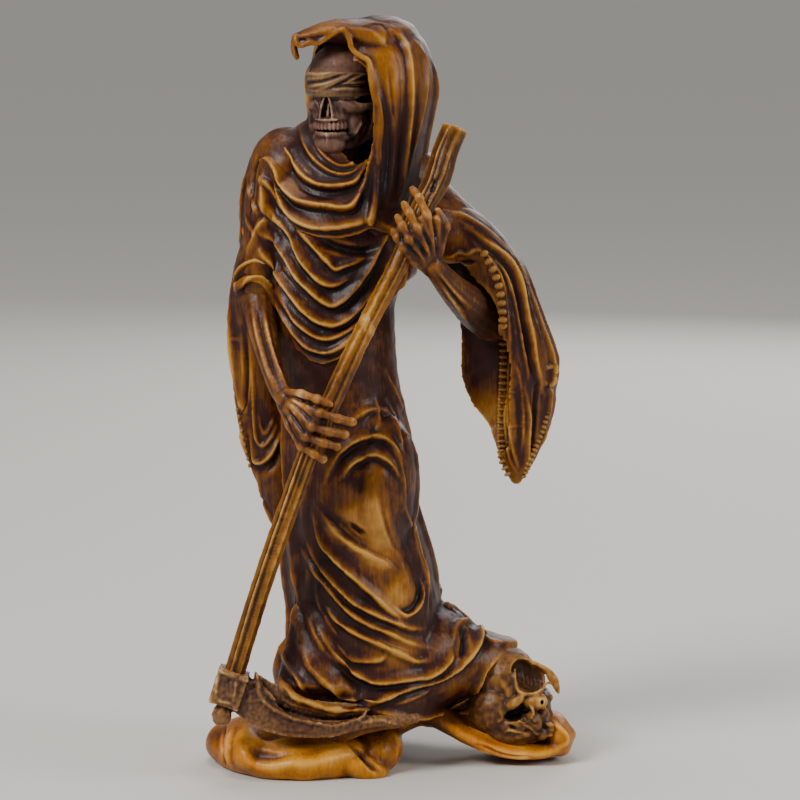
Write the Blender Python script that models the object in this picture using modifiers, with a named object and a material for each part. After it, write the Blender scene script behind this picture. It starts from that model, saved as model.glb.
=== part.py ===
"""Grim reaper figurine carved from one block of boxwood: a hooded, blindfolded skeleton that
leans on a scythe held head down, on a pebble-like foot that arches over to a second pad with a
broken skull. The figure is drawn at 200 mm, and every length below is a share of that height."""

import math

import bmesh
import bpy
import numpy as np
from mathutils import Vector
from mathutils.bvhtree import BVHTree

HEIGHT = 0.200
MM = HEIGHT / 200

# Sizes that a carver would set on their own.
STAFF_RADIUS = 2.75 * MM
FINGER_RADIUS = 1.05 * MM
BLADE_THICKNESS = 3.4 * MM
PAD_HEIGHT = 11.5 * MM
SMALL_PAD_HEIGHT = 8.5 * MM
BRIM_RADIUS = 1.1 * MM
SLEEVE_WALL = 2.2 * MM

# Fineness of the carving.
ROBE_VOXEL = 0.9 * MM
SOLID_VOXEL = 0.75 * MM
SOLID_TRIANGLES = 9400

FRONT_EYE = Vector((0.0, -943.0, 214.0)) * MM
BACK_EYE = Vector((0.0, 943.0, 150.0)) * MM


def spline(rows, steps):
    """Rows of numbers, smoothed by a Catmull-Rom curve through them."""
    rows = np.array(rows, float)
    ends = np.vstack([2 * rows[0] - rows[1], rows, 2 * rows[-1] - rows[-2]])
    out = []
    for a, b, c, d in zip(ends[:-3], ends[1:-2], ends[2:-1], ends[3:]):
        for t in np.arange(steps) / steps:
            out.append(0.5 * (2 * b + (c - a) * t + (2 * a - 5 * b + 4 * c - d) * t * t
                              + (3 * b - a - 3 * c + d) * t ** 3))
    out.append(rows[-1])
    return np.array(out)


def add_object(name, mesh, collection):
    obj = bpy.data.objects.new(name, mesh)
    collection.objects.link(obj)
    return obj


def loft(name, rows, collection, across=(1, 0, 0), around=28, steps=3, cap=0.8):
    """A rounded body through rows of x, y, z, half width and half depth, in drawing millimetres.
    The width lies along across, and the depth square to it and to the path."""
    rows = spline(rows, steps)
    rows[:, 3:] = np.maximum(rows[:, 3:], 0.3)
    along = np.gradient(rows[:, :3], axis=0)
    along /= np.linalg.norm(along, axis=1)[:, None]
    wide = np.array(across, float) - along * (along @ np.array(across, float))[:, None]
    wide /= np.linalg.norm(wide, axis=1)[:, None]
    deep = np.cross(along, wide)
    turn = np.linspace(0, 2 * math.pi, around, endpoint=False)
    sections = []

    def section(i, share, shift):
        centre = rows[i, :3] + along[i] * shift
        return (centre + share * rows[i, 3] * np.cos(turn)[:, None] * wide[i]
                + share * rows[i, 4] * np.sin(turn)[:, None] * deep[i])

    lift = cap * min(rows[0, 3:])
    for slope in (75, 50, 25):
        sections.append(section(0, math.cos(math.radians(slope)), -lift * math.sin(math.radians(slope))))
    sections += [section(i, 1.0, 0.0) for i in range(len(rows))]
    lift = cap * min(rows[-1, 3:])
    for slope in (25, 50, 75):
        sections.append(section(-1, math.cos(math.radians(slope)), lift * math.sin(math.radians(slope))))
    points = np.concatenate(sections) * MM
    faces = []
    for k in range(len(sections) - 1):
        for j in range(around):
            a, b = k * around + j, k * around + (j + 1) % around
            faces.append((a, b, b + around, a + around))
    last = (len(sections) - 1) * around
    faces.append(tuple(reversed(range(around))))
    faces.append(tuple(range(last, last + around)))
    mesh = bpy.data.meshes.new(name)
    mesh.from_pydata(points.tolist(), [], faces)
    return add_object(name, mesh, collection)


def ball(name, centre, radii, collection, turn=(0, 0, 0)):
    """An ellipsoid, its centre and radii in drawing millimetres and its turn in degrees."""
    mesh = bpy.data.meshes.new(name)
    shape = bmesh.new()
    bmesh.ops.create_uvsphere(shape, u_segments=32, v_segments=20, radius=1.0)
    shape.to_mesh(mesh)
    shape.free()
    obj = add_object(name, mesh, collection)
    obj.location = Vector(centre) * MM
    obj.scale = Vector(radii) * MM
    obj.rotation_euler = [math.radians(a) for a in turn]
    return obj


def tube(name, rows, collection, radius=1.0, sides=3):
    """A round limb through rows of x, y, z and a share of radius, as a bevelled curve made a mesh."""
    curve = bpy.data.curves.new(name, "CURVE")
    curve.dimensions = "3D"
    curve.bevel_depth = radius
    curve.bevel_resolution = sides
    curve.use_fill_caps = True
    rows = spline(rows, 5)
    line = curve.splines.new("POLY")
    line.points.add(len(rows) - 1)
    for point, row in zip(line.points, rows):
        point.co = (*(row[:3] * MM), 1.0)
        point.radius = row[3]
    guide = add_object(name + "_line", curve, collection)
    mesh = bpy.data.meshes.new_from_object(guide.evaluated_get(bpy.context.evaluated_depsgraph_get()))
    bpy.data.objects.remove(guide)
    shape = bmesh.new()
    shape.from_mesh(mesh)
    bmesh.ops.remove_doubles(shape, verts=shape.verts, dist=1e-6)
    shape.to_mesh(mesh)
    shape.free()
    return add_object(name, mesh, collection)


def join(name, objects, collection):
    """The objects made one mesh, placed as they stand; the objects themselves go."""
    bpy.context.view_layer.update()
    shape = bmesh.new()
    for obj in objects:
        piece = obj.data.copy()
        piece.transform(obj.matrix_world)
        shape.from_mesh(piece)
        bpy.data.objects.remove(obj)
        bpy.data.meshes.remove(piece)
    bmesh.ops.recalc_face_normals(shape, faces=shape.faces)
    mesh = bpy.data.meshes.new(name)
    shape.to_mesh(mesh)
    shape.free()
    return add_object(name, mesh, collection)


def keep_largest(obj):
    """Only the body with the most vertices; crumbs and sealed bubbles go."""
    shape = bmesh.new()
    shape.from_mesh(obj.data)
    left = set(shape.verts)
    bodies = []
    while left:
        seed = left.pop()
        body, edge = {seed}, [seed]
        while edge:
            for link in edge.pop().link_edges:
                for vert in link.verts:
                    if vert in left:
                        left.discard(vert)
                        body.add(vert)
                        edge.append(vert)
        bodies.append(body)
    bodies.sort(key=len)
    bmesh.ops.delete(shape, geom=[vert for body in bodies[:-1] for vert in body], context="VERTS")
    shape.to_mesh(obj.data)
    shape.free()


def apply_modifiers(obj):
    obj.data = bpy.data.meshes.new_from_object(obj.evaluated_get(bpy.context.evaluated_depsgraph_get()))
    obj.modifiers.clear()


def fuse(name, objects, collection, voxel, rounds=6):
    """One closed skin round the objects, its seams eased."""
    obj = join(name, objects, collection)
    remesh = obj.modifiers.new("one_skin", "REMESH")
    remesh.mode = "VOXEL"
    remesh.voxel_size = voxel
    smooth = obj.modifiers.new("ease", "SMOOTH")
    smooth.factor = 0.5
    smooth.iterations = rounds
    apply_modifiers(obj)
    return obj


def cut(obj, cutter):
    """The cutter's volume taken out of the object, and the cutter removed."""
    take = obj.modifiers.new("cut", "BOOLEAN")
    take.operation = "DIFFERENCE"
    take.solver = "EXACT"
    take.object = cutter
    apply_modifiers(obj)
    bpy.data.objects.remove(cutter)


def fold_family(first, last, count, height, above, below):
    """Folds that pass gradually from one line to another."""
    def even(line):
        line = spline(line, 8)
        run = np.insert(np.cumsum(np.linalg.norm(np.diff(line, axis=0), axis=1)), 0, 0.0)
        spots = np.linspace(0, run[-1], 9)
        return np.stack([np.interp(spots, run, line[:, k]) for k in range(2)], 1)
    first, last = even(first), even(last)
    return [((first + (last - first) * t).tolist(), height, above, below) for t in np.linspace(0, 1, count)]


def carve(obj, folds, eye=FRONT_EYE):
    """Raises folds on the surface. A fold is a line of x, z as seen from the eye on the upright
    plane through the figure's axis, a height, and the widths of its left and right flanks as the
    line runs; a height below zero cuts a groove."""
    mesh = obj.data
    points = np.empty(len(mesh.vertices) * 3)
    mesh.vertices.foreach_get("co", points)
    points = points.reshape(-1, 3)
    normals = np.empty(len(mesh.vertices) * 3)
    mesh.vertices.foreach_get("normal", normals)
    normals = normals.reshape(-1, 3)
    tree = BVHTree.FromPolygons([Vector(p) for p in points], [p.vertices for p in mesh.polygons])
    rise = np.zeros(len(points))
    sink = np.zeros(len(points))
    for line, height, above, below in folds:
        spots, facing = [], []
        for x, z in spline(line, 10):
            target = Vector((x, 0.0, z)) * MM
            ray = (target - eye).normalized()
            hit, normal = tree.ray_cast(eye, ray)[:2]
            if hit is not None and normal.dot(ray) < -0.12:
                spots.append(hit)
                facing.append(normal)
        spots, facing = np.array(spots), np.array(facing)
        along = np.gradient(spots, axis=0)
        along /= np.linalg.norm(along, axis=1)[:, None] + 1e-12
        reach = max(above, below) * MM * 1.4
        near = np.where(((points > spots.min(0) - reach) & (points < spots.max(0) + reach)).all(1))[0]
        gap = points[near][:, None, :] - spots[None]
        pick = np.einsum("ijk,ijk->ij", gap, gap).argmin(1)
        gap = gap[np.arange(len(near)), pick]
        side = np.einsum("ij,ij->i", gap, np.cross(facing, along)[pick])
        past = np.abs(np.einsum("ij,ij->i", gap, along[pick]))
        deep = np.abs(np.einsum("ij,ij->i", gap, facing[pick]))
        share = np.clip(1 - (np.hypot(side, past) / (np.where(side > 0, above, below) * MM)) ** 2, 0, 1)
        share *= np.clip(2 - deep / reach * 1.4, 0, 1)
        share *= np.einsum("ij,ij->i", normals[near], facing[pick]) > 0.1
        ends = np.minimum(pick, len(spots) - 1 - pick) / (0.18 * len(spots))
        share *= np.clip(0.35 + ends, 0, 1) * height * MM
        rise[near] = np.maximum(rise[near], share)
        sink[near] = np.minimum(sink[near], share)
    mesh.vertices.foreach_set("co", (points + normals * (rise + sink)[:, None]).ravel())
    mesh.update()


def skull(name, centre, size, turn, collection, jaw=True, sockets=True):
    """A skull of the given size, its face towards -Y before the turn in degrees."""
    bone = [
        ball(name + "_vault", (0, 2.5, 5.4), (9.2, 11.8, 9.2), collection),
        ball(name + "_brow", (0, -4, 3.6), (7.9, 6.8, 6.6), collection),
        ball(name + "_face", (0, -5.5, -3.5), (6.3, 5.3, 6), collection),
        ball(name + "_upper_jaw", (0, -7.8, -7), (4.5, 3.8, 3.4), collection),
        tube(name + "_cheek_left", [(-5.2, -8, -3, 1.5), (-8, -4.5, -2.6, 1.1), (-8.7, 1, -1.5, 1.1)], collection, MM),
        tube(name + "_cheek_right", [(5.2, -8, -3, 1.5), (8, -4.5, -2.6, 1.1), (8.7, 1, -1.5, 1.1)], collection, MM),
    ]
    if jaw:
        bone += [
            ball(name + "_chin", (0, -8.8, -12.2), (3.4, 2.5, 2.4), collection),
            tube(name + "_jaw", [(-7.6, 1, -3, 1.5), (-7.2, 0, -9, 1.9), (-4, -6.5, -11.8, 1.8), (0, -8.6, -12.2, 1.9),
                                 (4, -6.5, -11.8, 1.8), (7.2, 0, -9, 1.9), (7.6, 1, -3, 1.5)], collection, MM),
        ]
    hollow = [ball(name + "_nose", (0, -11.2, -3.6), (1.4, 2.4, 2.1), collection)]
    if sockets:
        hollow += [ball(name + "_socket", (side, -10, 0.2), (2.6, 3.4, 2.3), collection) for side in (-3.7, 3.7)]
    stand = bpy.data.objects.new(name + "_stand", None)
    stand.location = Vector(centre) * MM
    stand.scale = (size, size, size)
    stand.rotation_euler = [math.radians(a) for a in turn]
    collection.objects.link(stand)
    bpy.context.view_layer.update()
    for obj in bone + hollow:
        obj.matrix_world = stand.matrix_world @ obj.matrix_basis
    bpy.data.objects.remove(stand)
    head = fuse(name, bone, collection, 0.6 * MM, 3)
    for cutter in hollow:
        cut(head, cutter)
    return head


for old in list(bpy.data.objects):
    bpy.data.objects.remove(old)
figurine = bpy.data.collections.new("grim_reaper_figurine")
workshop = bpy.data.collections.new("shaping")
bpy.context.scene.collection.children.link(figurine)
bpy.context.scene.collection.children.link(workshop)

# Robe: body, shoulders, bent knee, trailing hem and the upper left arm in one cloth.
robe = fuse("robe", [
    loft("body", [(-12, 2, 166, 13.5, 13), (-12, 2, 159, 19.5, 16.5), (-12.5, 2, 149, 22.5, 18.5), (-13, 1, 136, 20, 19),
                  (-15.2, 1, 125, 17.5, 18.5), (-14.8, 1, 112, 16.5, 18), (-13.7, 1, 98, 16.5, 18.5),
                  (-12.4, 0, 88, 16.8, 20), (-12, 0, 77, 16.3, 21.5), (-10.7, 1, 66, 17.7, 22.5),
                  (-9, 2, 55, 19.2, 23.5), (-7, 3, 44, 20, 24.5), (-6, 4, 33, 21.5, 25.5),
                  (-6.5, 4, 24, 23, 25.5), (-8, 4, 16, 22, 25.5), (-10.5, 3, 9, 18, 24)], workshop),
    ball("shoulder_left", (-27, 2, 159), (10.5, 12.5, 12), workshop),
    loft("upper_arm_left", [(-28, 2, 160, 9.5, 11.5), (-31, 1, 151, 7.8, 11), (-32, 0, 143, 6.9, 10),
                            (-33, -1, 135, 7.2, 9.5), (-34.5, -1, 129, 6.6, 8.5)], workshop),
    ball("shoulder_right", (4, 6, 155), (10, 11, 12), workshop),
    loft("upper_arm_right", [(4, 7, 153, 9, 10), (12, 6, 148, 8, 9.5), (20, 5, 140, 8, 9.5)], workshop),
    ball("knee", (-4, -9.5, 72), (10.5, 12, 24), workshop, (6, 8, 0)),
    loft("train", [(0, 3, 27, 20, 17), (9, 3, 29, 18, 15.5), (16, 4, 30, 14.5, 11.5), (22, 5, 30.5, 11, 8),
                   (28, 6, 30.8, 6.5, 4), (33, 7, 31.2, 3, 1.6)], workshop, across=(0, 1, 0)),
    loft("hem_corner", [(-22, 0, 34, 7, 8), (-25, -1, 30, 6, 8), (-26, -2, 24, 5.5, 7), (-24, -2, 17, 5, 7)], workshop),
], workshop, ROBE_VOXEL, 12)
neckline = ball("neckline", (-14.5, -13, 165), (8.5, 9, 6.5), workshop)
cut(robe, neckline)
carve(robe, [
    ([(-22.2, 169.3), (-18.8, 162.2), (-14.6, 158), (-10.3, 158), (-5, 161.7)], 0.9, 2.2, 1.6),
    ([(-25.9, 170.1), (-23.8, 163.8), (-20.1, 158), (-14.6, 154.5), (-9.5, 155.3), (-4, 159.5)], 1.2, 2.5, 1.6),
    ([(-32.3, 165.1), (-28.6, 156.6), (-25.2, 151.3), (-18.8, 149.7), (-11.7, 149.7), (-5, 153)], 1.6, 3.2, 2.4),
    ([(-34, 164), (-29.4, 153.7), (-26, 147.4), (-20.9, 144.4), (-14.6, 143.9), (-6.6, 145.2), (-1, 149)], 2.3, 6, 1.2),
    ([(-33.6, 155.8), (-30.2, 150.8), (-26, 142.3), (-22.3, 135.4), (-17.3, 130.3), (-12.5, 130.6)], 1.3, 2.4, 2),
    ([(-32.3, 148.7), (-27.3, 143.1), (-24.4, 136.7), (-20.2, 130.3), (-15.9, 123.9), (-10.4, 126.6),
      (-4.5, 133.8), (0.5, 142.3), (5.3, 153.7)], 1.9, 2.4, 2.6),
    ([(-36.6, 141), (-32.4, 138.1), (-27.4, 129.5), (-22.3, 121.8), (-16, 118.9), (-9.6, 120.2), (-1, 130)], 1.6, 2.4, 2.2),
    ([(-37.9, 136.7), (-32.4, 133.8), (-28.7, 126.6), (-23.9, 118.9), (-17.3, 115.7), (-11.7, 117), (-2, 125)], 1.3, 2.2, 1.8),
    ([(-30.3, 127.4), (-28.4, 121.8), (-24, 113), (-17.3, 110.3), (-12.5, 112.4), (-6, 119), (2, 130)], 1.7, 3, 1.1),
    ([(-16.1, 79), (-13.1, 82.9), (-7.5, 85.9), (-1.6, 85.9), (2.7, 82.3)], 1.1, 2.4, 1.2),
    ([(-14.5, 75), (-10.4, 80.7), (-6.1, 82.3), (-0.3, 81.5), (3.2, 77.2)], 1, 2, 1.4),
    ([(-16.1, 64.8), (-10.5, 57.7), (-3.2, 50.4), (3.2, 45.2), (7, 38.7)], 1.4, 3, 2.4),
    ([(-20.4, 63.4), (-17.4, 53.4), (-13.2, 46), (-6.2, 38.7), (1.1, 34.3), (8.3, 31.3)], 1.8, 3.6, 2.4),
    ([(-24.6, 63.4), (-21.7, 50.4), (-17.5, 40.9), (-13.2, 34.3), (-8.9, 29.9), (-1.6, 26.9), (7, 25.6)], 1.6, 3.4, 2.4),
    ([(-25.5, 46), (-21.8, 35.1), (-16.1, 27.7), (-10.5, 23.4), (-1.6, 21.7), (8, 22)], 1.4, 3, 2.4),
    ([(-24.7, 31.3), (-20.5, 23.9), (-13.2, 18.2), (-6.2, 15.1)], 1.2, 2.6, 1.8),
    ([(1.1, 43), (4.8, 39.5), (9.7, 44.4), (11, 54)], 1.4, 2.4, 2.2),
    ([(16, 40), (20.4, 38.5), (24.7, 30.8), (19.9, 24.7), (12.7, 20.9), (4.8, 17.3)], 1.5, 2, 2.4),
    ([(32.8, 31.6), (29.9, 28.3), (25, 23.9), (21.3, 17.3), (15.6, 14.6), (8.4, 11.6)], 1.4, 1.6, 2.4),
    ([(19.2, 36.5), (18.8, 31)], -1.6, 1.8, 1.8),
])
carve(robe, fold_family([(-27, 150), (-29, 110), (-27, 60), (-29, 14)], [(4, 150), (0, 110), (8, 60), (14, 14)],
                        6, 1.5, 3.2, 2.6), BACK_EYE)

# Left sleeve: the cloth that hangs behind the forearm to a point.
left_sleeve = fuse("left_sleeve", [
    loft("sleeve_left", [(-35.4, 0, 134, 6.2, 8.5), (-36.2, 1, 126, 6.2, 8.5), (-35.9, 3, 114, 6.5, 8),
                         (-35, 3, 105, 6.5, 8), (-33.5, 3, 95, 6.7, 7.5), (-31.6, 2, 86, 7.2, 7),
                         (-30.6, 1, 80, 6.2, 6.2), (-29.8, 0, 75, 5, 5), (-29.6, -1, 69, 3.4, 3.6),
                         (-29.8, -1, 65, 2, 2.6)], workshop),
], workshop, ROBE_VOXEL)
carve(left_sleeve, [
    ([(-40.4, 133), (-37.2, 135), (-32.9, 133.2), (-29.6, 128.2), (-28.4, 123.1)], 1.3, 2.2, 1.4),
    ([(-41, 130), (-41.2, 118), (-40.2, 100), (-37.6, 88), (-33.5, 82.5), (-30.5, 88), (-29.6, 99)], 1.1, 1.8, 2),
    ([(-37.6, 116), (-37.4, 100), (-35, 90), (-32.4, 92)], 0.8, 1.5, 1.5),
])
carve(left_sleeve, fold_family([(-41, 132), (-40, 105), (-33, 70)], [(-31, 132), (-30, 105), (-28, 70)],
                               3, 1.1, 2.4, 2), BACK_EYE)

# Right sleeve: a bell that hangs open to the viewer's left below the forearm.
right_sleeve = fuse("right_sleeve", [
    loft("sleeve_right", [(13, 5, 146.5, 5.5, 9), (19.6, 4, 141, 8.4, 11), (24.4, 3, 131.7, 11.1, 12),
                          (27.1, 3, 123.7, 11.3, 12), (29, 3, 116.4, 12.2, 12), (30.7, 3, 108.4, 13.6, 11),
                          (31.3, 3, 104.5, 13.4, 10.5), (32.3, 3, 99.7, 12, 9.5), (33.9, 3, 93.3, 9.2, 8),
                          (34.2, 2, 85.6, 6.2, 5.8), (33.8, 1, 80, 3.6, 4.2), (33.7, 1, 76.8, 1.6, 2.6)], workshop),
], workshop, ROBE_VOXEL)
carve(right_sleeve, [
    ([(24.7, 137.6), (31.5, 133), (36.5, 122), (40.5, 112), (42.5, 103)], 1.2, 2.6, 2.2),
    ([(30, 130), (33.5, 118), (35.5, 105), (35.6, 92), (34.4, 81)], 1, 1.8, 2),
    ([(34, 124), (38, 112), (39.5, 100), (37.5, 88)], 0.9, 1.8, 1.8),
    ([(24, 138), (29, 131.5), (30.2, 120), (29.8, 109), (29.1, 98), (29.3, 85), (33.4, 76.8)], 0.9, 1.3, 1.3),
])
carve(right_sleeve, fold_family([(22, 140), (22, 112), (31, 84)], [(33, 132), (41, 108), (37, 84)],
                                4, 1.1, 2.6, 2.2), BACK_EYE)
WALL = SLEEVE_WALL / MM
cut(right_sleeve, loft("mouth", [
    (17.5, -1, 131, 6.5, 9), (19.6, -1.5, 124, 11.1 - WALL / 2, 12.6 - WALL), (21.5, -1, 116.4, 12.2 - WALL / 2, 12.6 - WALL),
    (23.2, -1, 108.4, 12.6 - WALL / 2, 11.6 - WALL), (25, -0.5, 101, 10.2 - WALL / 2, 10.6 - WALL),
    (27.2, 0, 93.3, 7 - WALL / 2, 8.6 - WALL), (29, 0, 87, 3.6, 4.4)], workshop))

# Hood: a deep cowl that opens to the viewer's left, with a curled tip over the brow.
hood = fuse("hood", [
    loft("cowl", [(-6.2, 3, 191.4, 14.8, 16.5), (-5.6, 3, 188.5, 16.2, 18), (-5, 3, 182.5, 17, 19.6),
                  (-5.2, 3, 175.5, 16.1, 19.6), (-5.4, 2.6, 167.6, 14.8, 19), (-5, 1.4, 158, 13.2, 18.6),
                  (-4.5, 0, 149, 12, 18), (-4, -2, 141, 9, 15)], workshop, cap=0.58),
], workshop, ROBE_VOXEL, 4)
cut(hood, loft("face_opening", [
    (-14, -7, 189, 8, 9), (-14.5, -7.5, 186, 11, 12), (-14.5, -8, 180, 12.2, 13.6), (-14, -8, 171, 11.8, 14),
    (-14, -9, 162, 10.6, 13), (-14.5, -11, 156, 9, 11)], workshop))
cut(hood, loft("open_side", [(-27, -10, 187, 12, 12), (-27, -10, 181, 14, 17), (-26, -10, 168, 14, 17),
                             (-26, -10, 150, 13, 16), (-26, -10, 138, 13, 16)], workshop, cap=0.3))
hood = fuse("hood", [
    hood,
    loft("brow_cloth", [(-6, -3, 193.6, 11, 5), (-12, -6, 194.4, 9, 3.6), (-17, -8.5, 194.6, 7, 2.4), (-21, -10, 194.4, 5, 1.4),
                        (-23.6, -11, 194.2, 3, 1)], workshop, across=(0, 1, 0)),
    tube("curled_tip", [(-22, -12.6, 194.2, 1.3), (-24, -12, 193.4, 1.2), (-24.8, -11, 191, 1.1), (-24, -10, 189.2, 0.8)],
         workshop, MM),
], workshop, ROBE_VOXEL, 3)
carve(hood, [
    ([(0.5, 196), (4.7, 188.8), (5.3, 178.3), (4, 165.1), (2, 152)], 1.3, 2, 2.6),
    ([(-4, 195), (1.2, 186), (1.6, 174), (0.4, 160), (-1, 150)], 0.9, 2, 2),
    ([(5, 195), (9, 186), (9.3, 175), (6.6, 162)], 1, 2, 2.2),
])
carve(hood, fold_family([(-18, 190), (-19, 172), (-17, 150)], [(8, 190), (8, 172), (5, 150)], 5, 1.2, 3, 2.4), BACK_EYE)
brim = tube("brim", [(-23.7, -12, 193.3, 1), (-19.7, -14, 193.4, 0.9), (-12.4, -14.5, 195.6, 0.9), (-10.3, -15.5, 191.4, 0.9),
                     (-5.6, -15.5, 188.8, 0.9), (-4.1, -16, 180.5, 1), (-2.5, -16, 172.2, 1.1), (-2.7, -16, 164, 1.1),
                     (-3.8, -17, 156, 1.1), (-5, -18.5, 148, 1)], workshop, BRIM_RADIUS)

# Head: a skull turned to the viewer's left, blindfolded with a wound strip.
head = skull("head", (-12.6, -4.6, 179.2), 1.0, (2, 0, -22), workshop, sockets=False)
strips = []
for i, (low, lean) in enumerate(((1, 0.8), (2.8, -0.9), (4.4, 0.6))):
    ring = []
    for a in range(0, 361, 20):
        turn = math.radians(a)
        side, front = 8.7 * math.sin(turn), -0.6 - 10.6 * math.cos(turn)
        ring.append((side, front, low + lean * math.sin(turn), 1.0))
    strip = tube("strip_%d" % i, ring, workshop, 1.25 * MM)
    strip.location = Vector((-12.6, -4.6, 179.2)) * MM
    strip.rotation_euler = (math.radians(2), 0, math.radians(-22))
    strips.append(strip)
neck = tube("neck", [(-12, -2, 172, 4.6), (-12, -3, 160, 5)], workshop, MM)

# Arms and hands of bone.
bones = [
    tube("forearm_left", [(-35.5, -2, 131, 4.2), (-34.9, -5, 125.7, 3.8), (-33.7, -11, 118.3, 3.4), (-31.6, -18, 111.1, 2.9),
                          (-28.8, -25, 104.6, 2.5), (-27, -28, 102.5, 2.4)], workshop, MM),
    tube("forearm_right", [(26, 4, 116, 4.2), (21.7, -3, 121.6, 3.9), (17.1, -12, 127.7, 3.2), (12.6, -19.5, 134.2, 2.5),
                           (11, -22, 136.5, 2.4)], workshop, MM),
]
FINGERS = {
    "left_index": [(-27, -28, 104.6), (-23.2, -32.5, 103.1), (-18.2, -35, 100), (-13.6, -36.4, 98.9), (-10, -34, 97.8), (-9.6, -31, 97.4)],
    "left_middle": [(-27.6, -28, 103.6), (-23.7, -33.5, 100.9), (-18.7, -35.6, 97.5), (-14.9, -36.8, 95.6), (-11.6, -34, 93.9), (-11.4, -31, 93.6)],
    "left_ring": [(-28.2, -27, 102.9), (-25.2, -32.5, 98.7), (-20.3, -35, 94), (-16.4, -36.4, 92.4), (-13.7, -33, 90.6), (-13.6, -30, 90.4)],
    "left_little": [(-28.8, -26, 102), (-26.8, -30.5, 96.8), (-22.4, -33, 90.6), (-19.5, -34.6, 89.1), (-17, -32, 87.3), (-17, -30, 87.2)],
    "left_thumb": [(-26.9, -29, 104.9), (-22.3, -34, 104.6), (-18.5, -35.4, 103.2), (-15.2, -34, 101.4)],
    "right_thumb": [(12.2, -21, 135.6), (13.2, -22.5, 141.2), (14.5, -22, 146.1), (12.4, -22, 150.4)],
    "right_index": [(11.7, -22, 135.7), (10.8, -25, 142.7), (9.5, -25.6, 149.5), (7.7, -24.6, 153.8), (5.6, -21, 156.2)],
    "right_middle": [(11.1, -22, 135.4), (9.3, -26, 140.9), (7.2, -27.4, 146.3), (5.1, -27, 150.3), (3.2, -23.4, 152.9)],
    "right_ring": [(10.6, -22, 134.9), (7.7, -26, 139.1), (4.9, -28, 143.4), (3.3, -27.4, 147), (1.6, -24.4, 149.1)],
    "right_little": [(10.1, -21, 134.3), (6.5, -25, 137.5), (3.4, -27.4, 141.5), (1.9, -27, 143.7), (0.6, -24.4, 145.3)],
}
for name, line in FINGERS.items():
    knuckles = [(*p, (1.5, 1.15, 1.55, 1.05, 1.2, 0.9)[i]) for i, p in enumerate(line)]
    bones.append(tube(name, knuckles, workshop, FINGER_RADIUS))
bones.append(ball("palm_left", (-22.6, -30.4, 98.4), (5.2, 3, 5.4), workshop, (0, 30, -25)))
bones.append(ball("palm_right", (9.2, -22.4, 141), (4.2, 2.6, 6), workshop, (0, -25, 0)))

# Scythe: a crooked stick, its square socket, and the hammered blade laid along the foot.
staff = tube("staff", [(16.9, -13, 171.2, 1.02), (14.6, -14.4, 165.5, 0.97), (12.4, -17, 158, 1.03), (7.8, -20.6, 149.3, 0.98),
                       (2.6, -24, 137.4, 1), (-6.5, -28, 120.1, 0.97), (-14.2, -31, 103.6, 1.02), (-20.1, -31.4, 90.6, 1),
                       (-25.9, -30.6, 74.8, 1.05), (-33.3, -28, 53.4, 1.02), (-40.3, -26.4, 30.8, 1.05),
                       (-41.6, -26.2, 26, 1)], workshop, STAFF_RADIUS)
blade = loft("blade", [(-42, -26.4, 25.6, 2.8, 5.8), (-38, -26.8, 23.4, 2.1, 4.8), (-34.4, -27, 20.8, 1.8, 4.6), (-31.4, -27, 18, 1.8, 3.4),
                       (-27, -27, 15.7, 1.7, 2.9), (-20, -26.6, 15.1, 1.7, 2.4), (-13, -25, 15.2, 1.6, 2), (-8, -23, 16.4, 1.4, 1.6),
                       (-4, -21.6, 17.4, 1, 0.8)], workshop, across=(0, 1, 0))
spike = tube("spike", [(-34.3, -27, 24, 2), (-34.6, -27, 27, 1.4), (-35, -27, 30, 0.5)], workshop, MM)
mesh = bpy.data.meshes.new("socket")
shape = bmesh.new()
bmesh.ops.create_cube(shape, size=1.0)
bmesh.ops.bevel(shape, geom=shape.edges, offset=0.08, segments=2, affect="EDGES")
shape.to_mesh(mesh)
shape.free()
socket = add_object("socket", mesh, workshop)
socket.scale = Vector((8, 7.4, 9.6)) * MM
socket.location = Vector((-42, -26.6, 26)) * MM
socket.rotation_euler = (0, math.radians(18), 0)

# Foot: a thick pad, a bridge clear of the ground and a thin second pad.
T = PAD_HEIGHT / MM
S = SMALL_PAD_HEIGHT / MM
foot = [
    loft("pad", [(-22.8, 1.5, 1.6, 24.6, 23.6), (-22.8, 1.5, 0.45 * T, 26, 25.6), (-22.8, 1.5, 0.85 * T, 25, 24.6)], workshop, cap=0.12, around=44),
    ball("pad_lobe_left", (-42.6, 1, 0.46 * T), (7.2, 13, 0.46 * T), workshop),
    ball("pad_lobe_right", (-3.4, -10, 0.5 * T), (7, 11, 0.52 * T), workshop),
    loft("bridge", [(-12, 3, 9, 15, 5), (-2, 3, 10.6, 15, 4.6), (7, 3, 13.6, 14, 4), (12, 3, 13.4, 13.5, 3.8), (17, 3, 10, 13, 3.6),
                    (22, 3, 6.6, 12.5, 3.3), (27, 4, 4.4, 12.5, 2.9), (34, 8, 3.2, 13.5, 2.7)], workshop, across=(0, 1, 0)),
    ball("skull_bed", (24, 6, 9), (13, 9.5, 6), workshop, (0, 20, 0)),
    loft("second_pad", [(34, 8, 3, 12.6, 2.7), (40, 9.5, 3.2, 14, 3), (43.6, 11, 0.5 * S, 12.6, 0.5 * S - 0.6), (46.2, 13, 0.6 * S, 8.6, 2.4)],
         workshop, across=(0, 1, 0)),
]
foot = fuse("foot", foot, workshop, ROBE_VOXEL, 8)
carve(foot, [
    ([(-44.6, 10.4), (-46, 6), (-44.8, 1.5)], -1.8, 2, 2),
    ([(-41, 9.6), (-37.5, 6.2), (-28, 4.6), (-16, 4.8), (-8, 7.6)], 0.8, 2.4, 3.4),
    ([(2, 10), (-3, 9.6), (-7.4, 6), (-6, 2)], -1.2, 1.8, 2.2),
    ([(24, 4.6), (31, 2.6), (38, 2.4)], -1, 1.2, 1.2),
])

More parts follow.
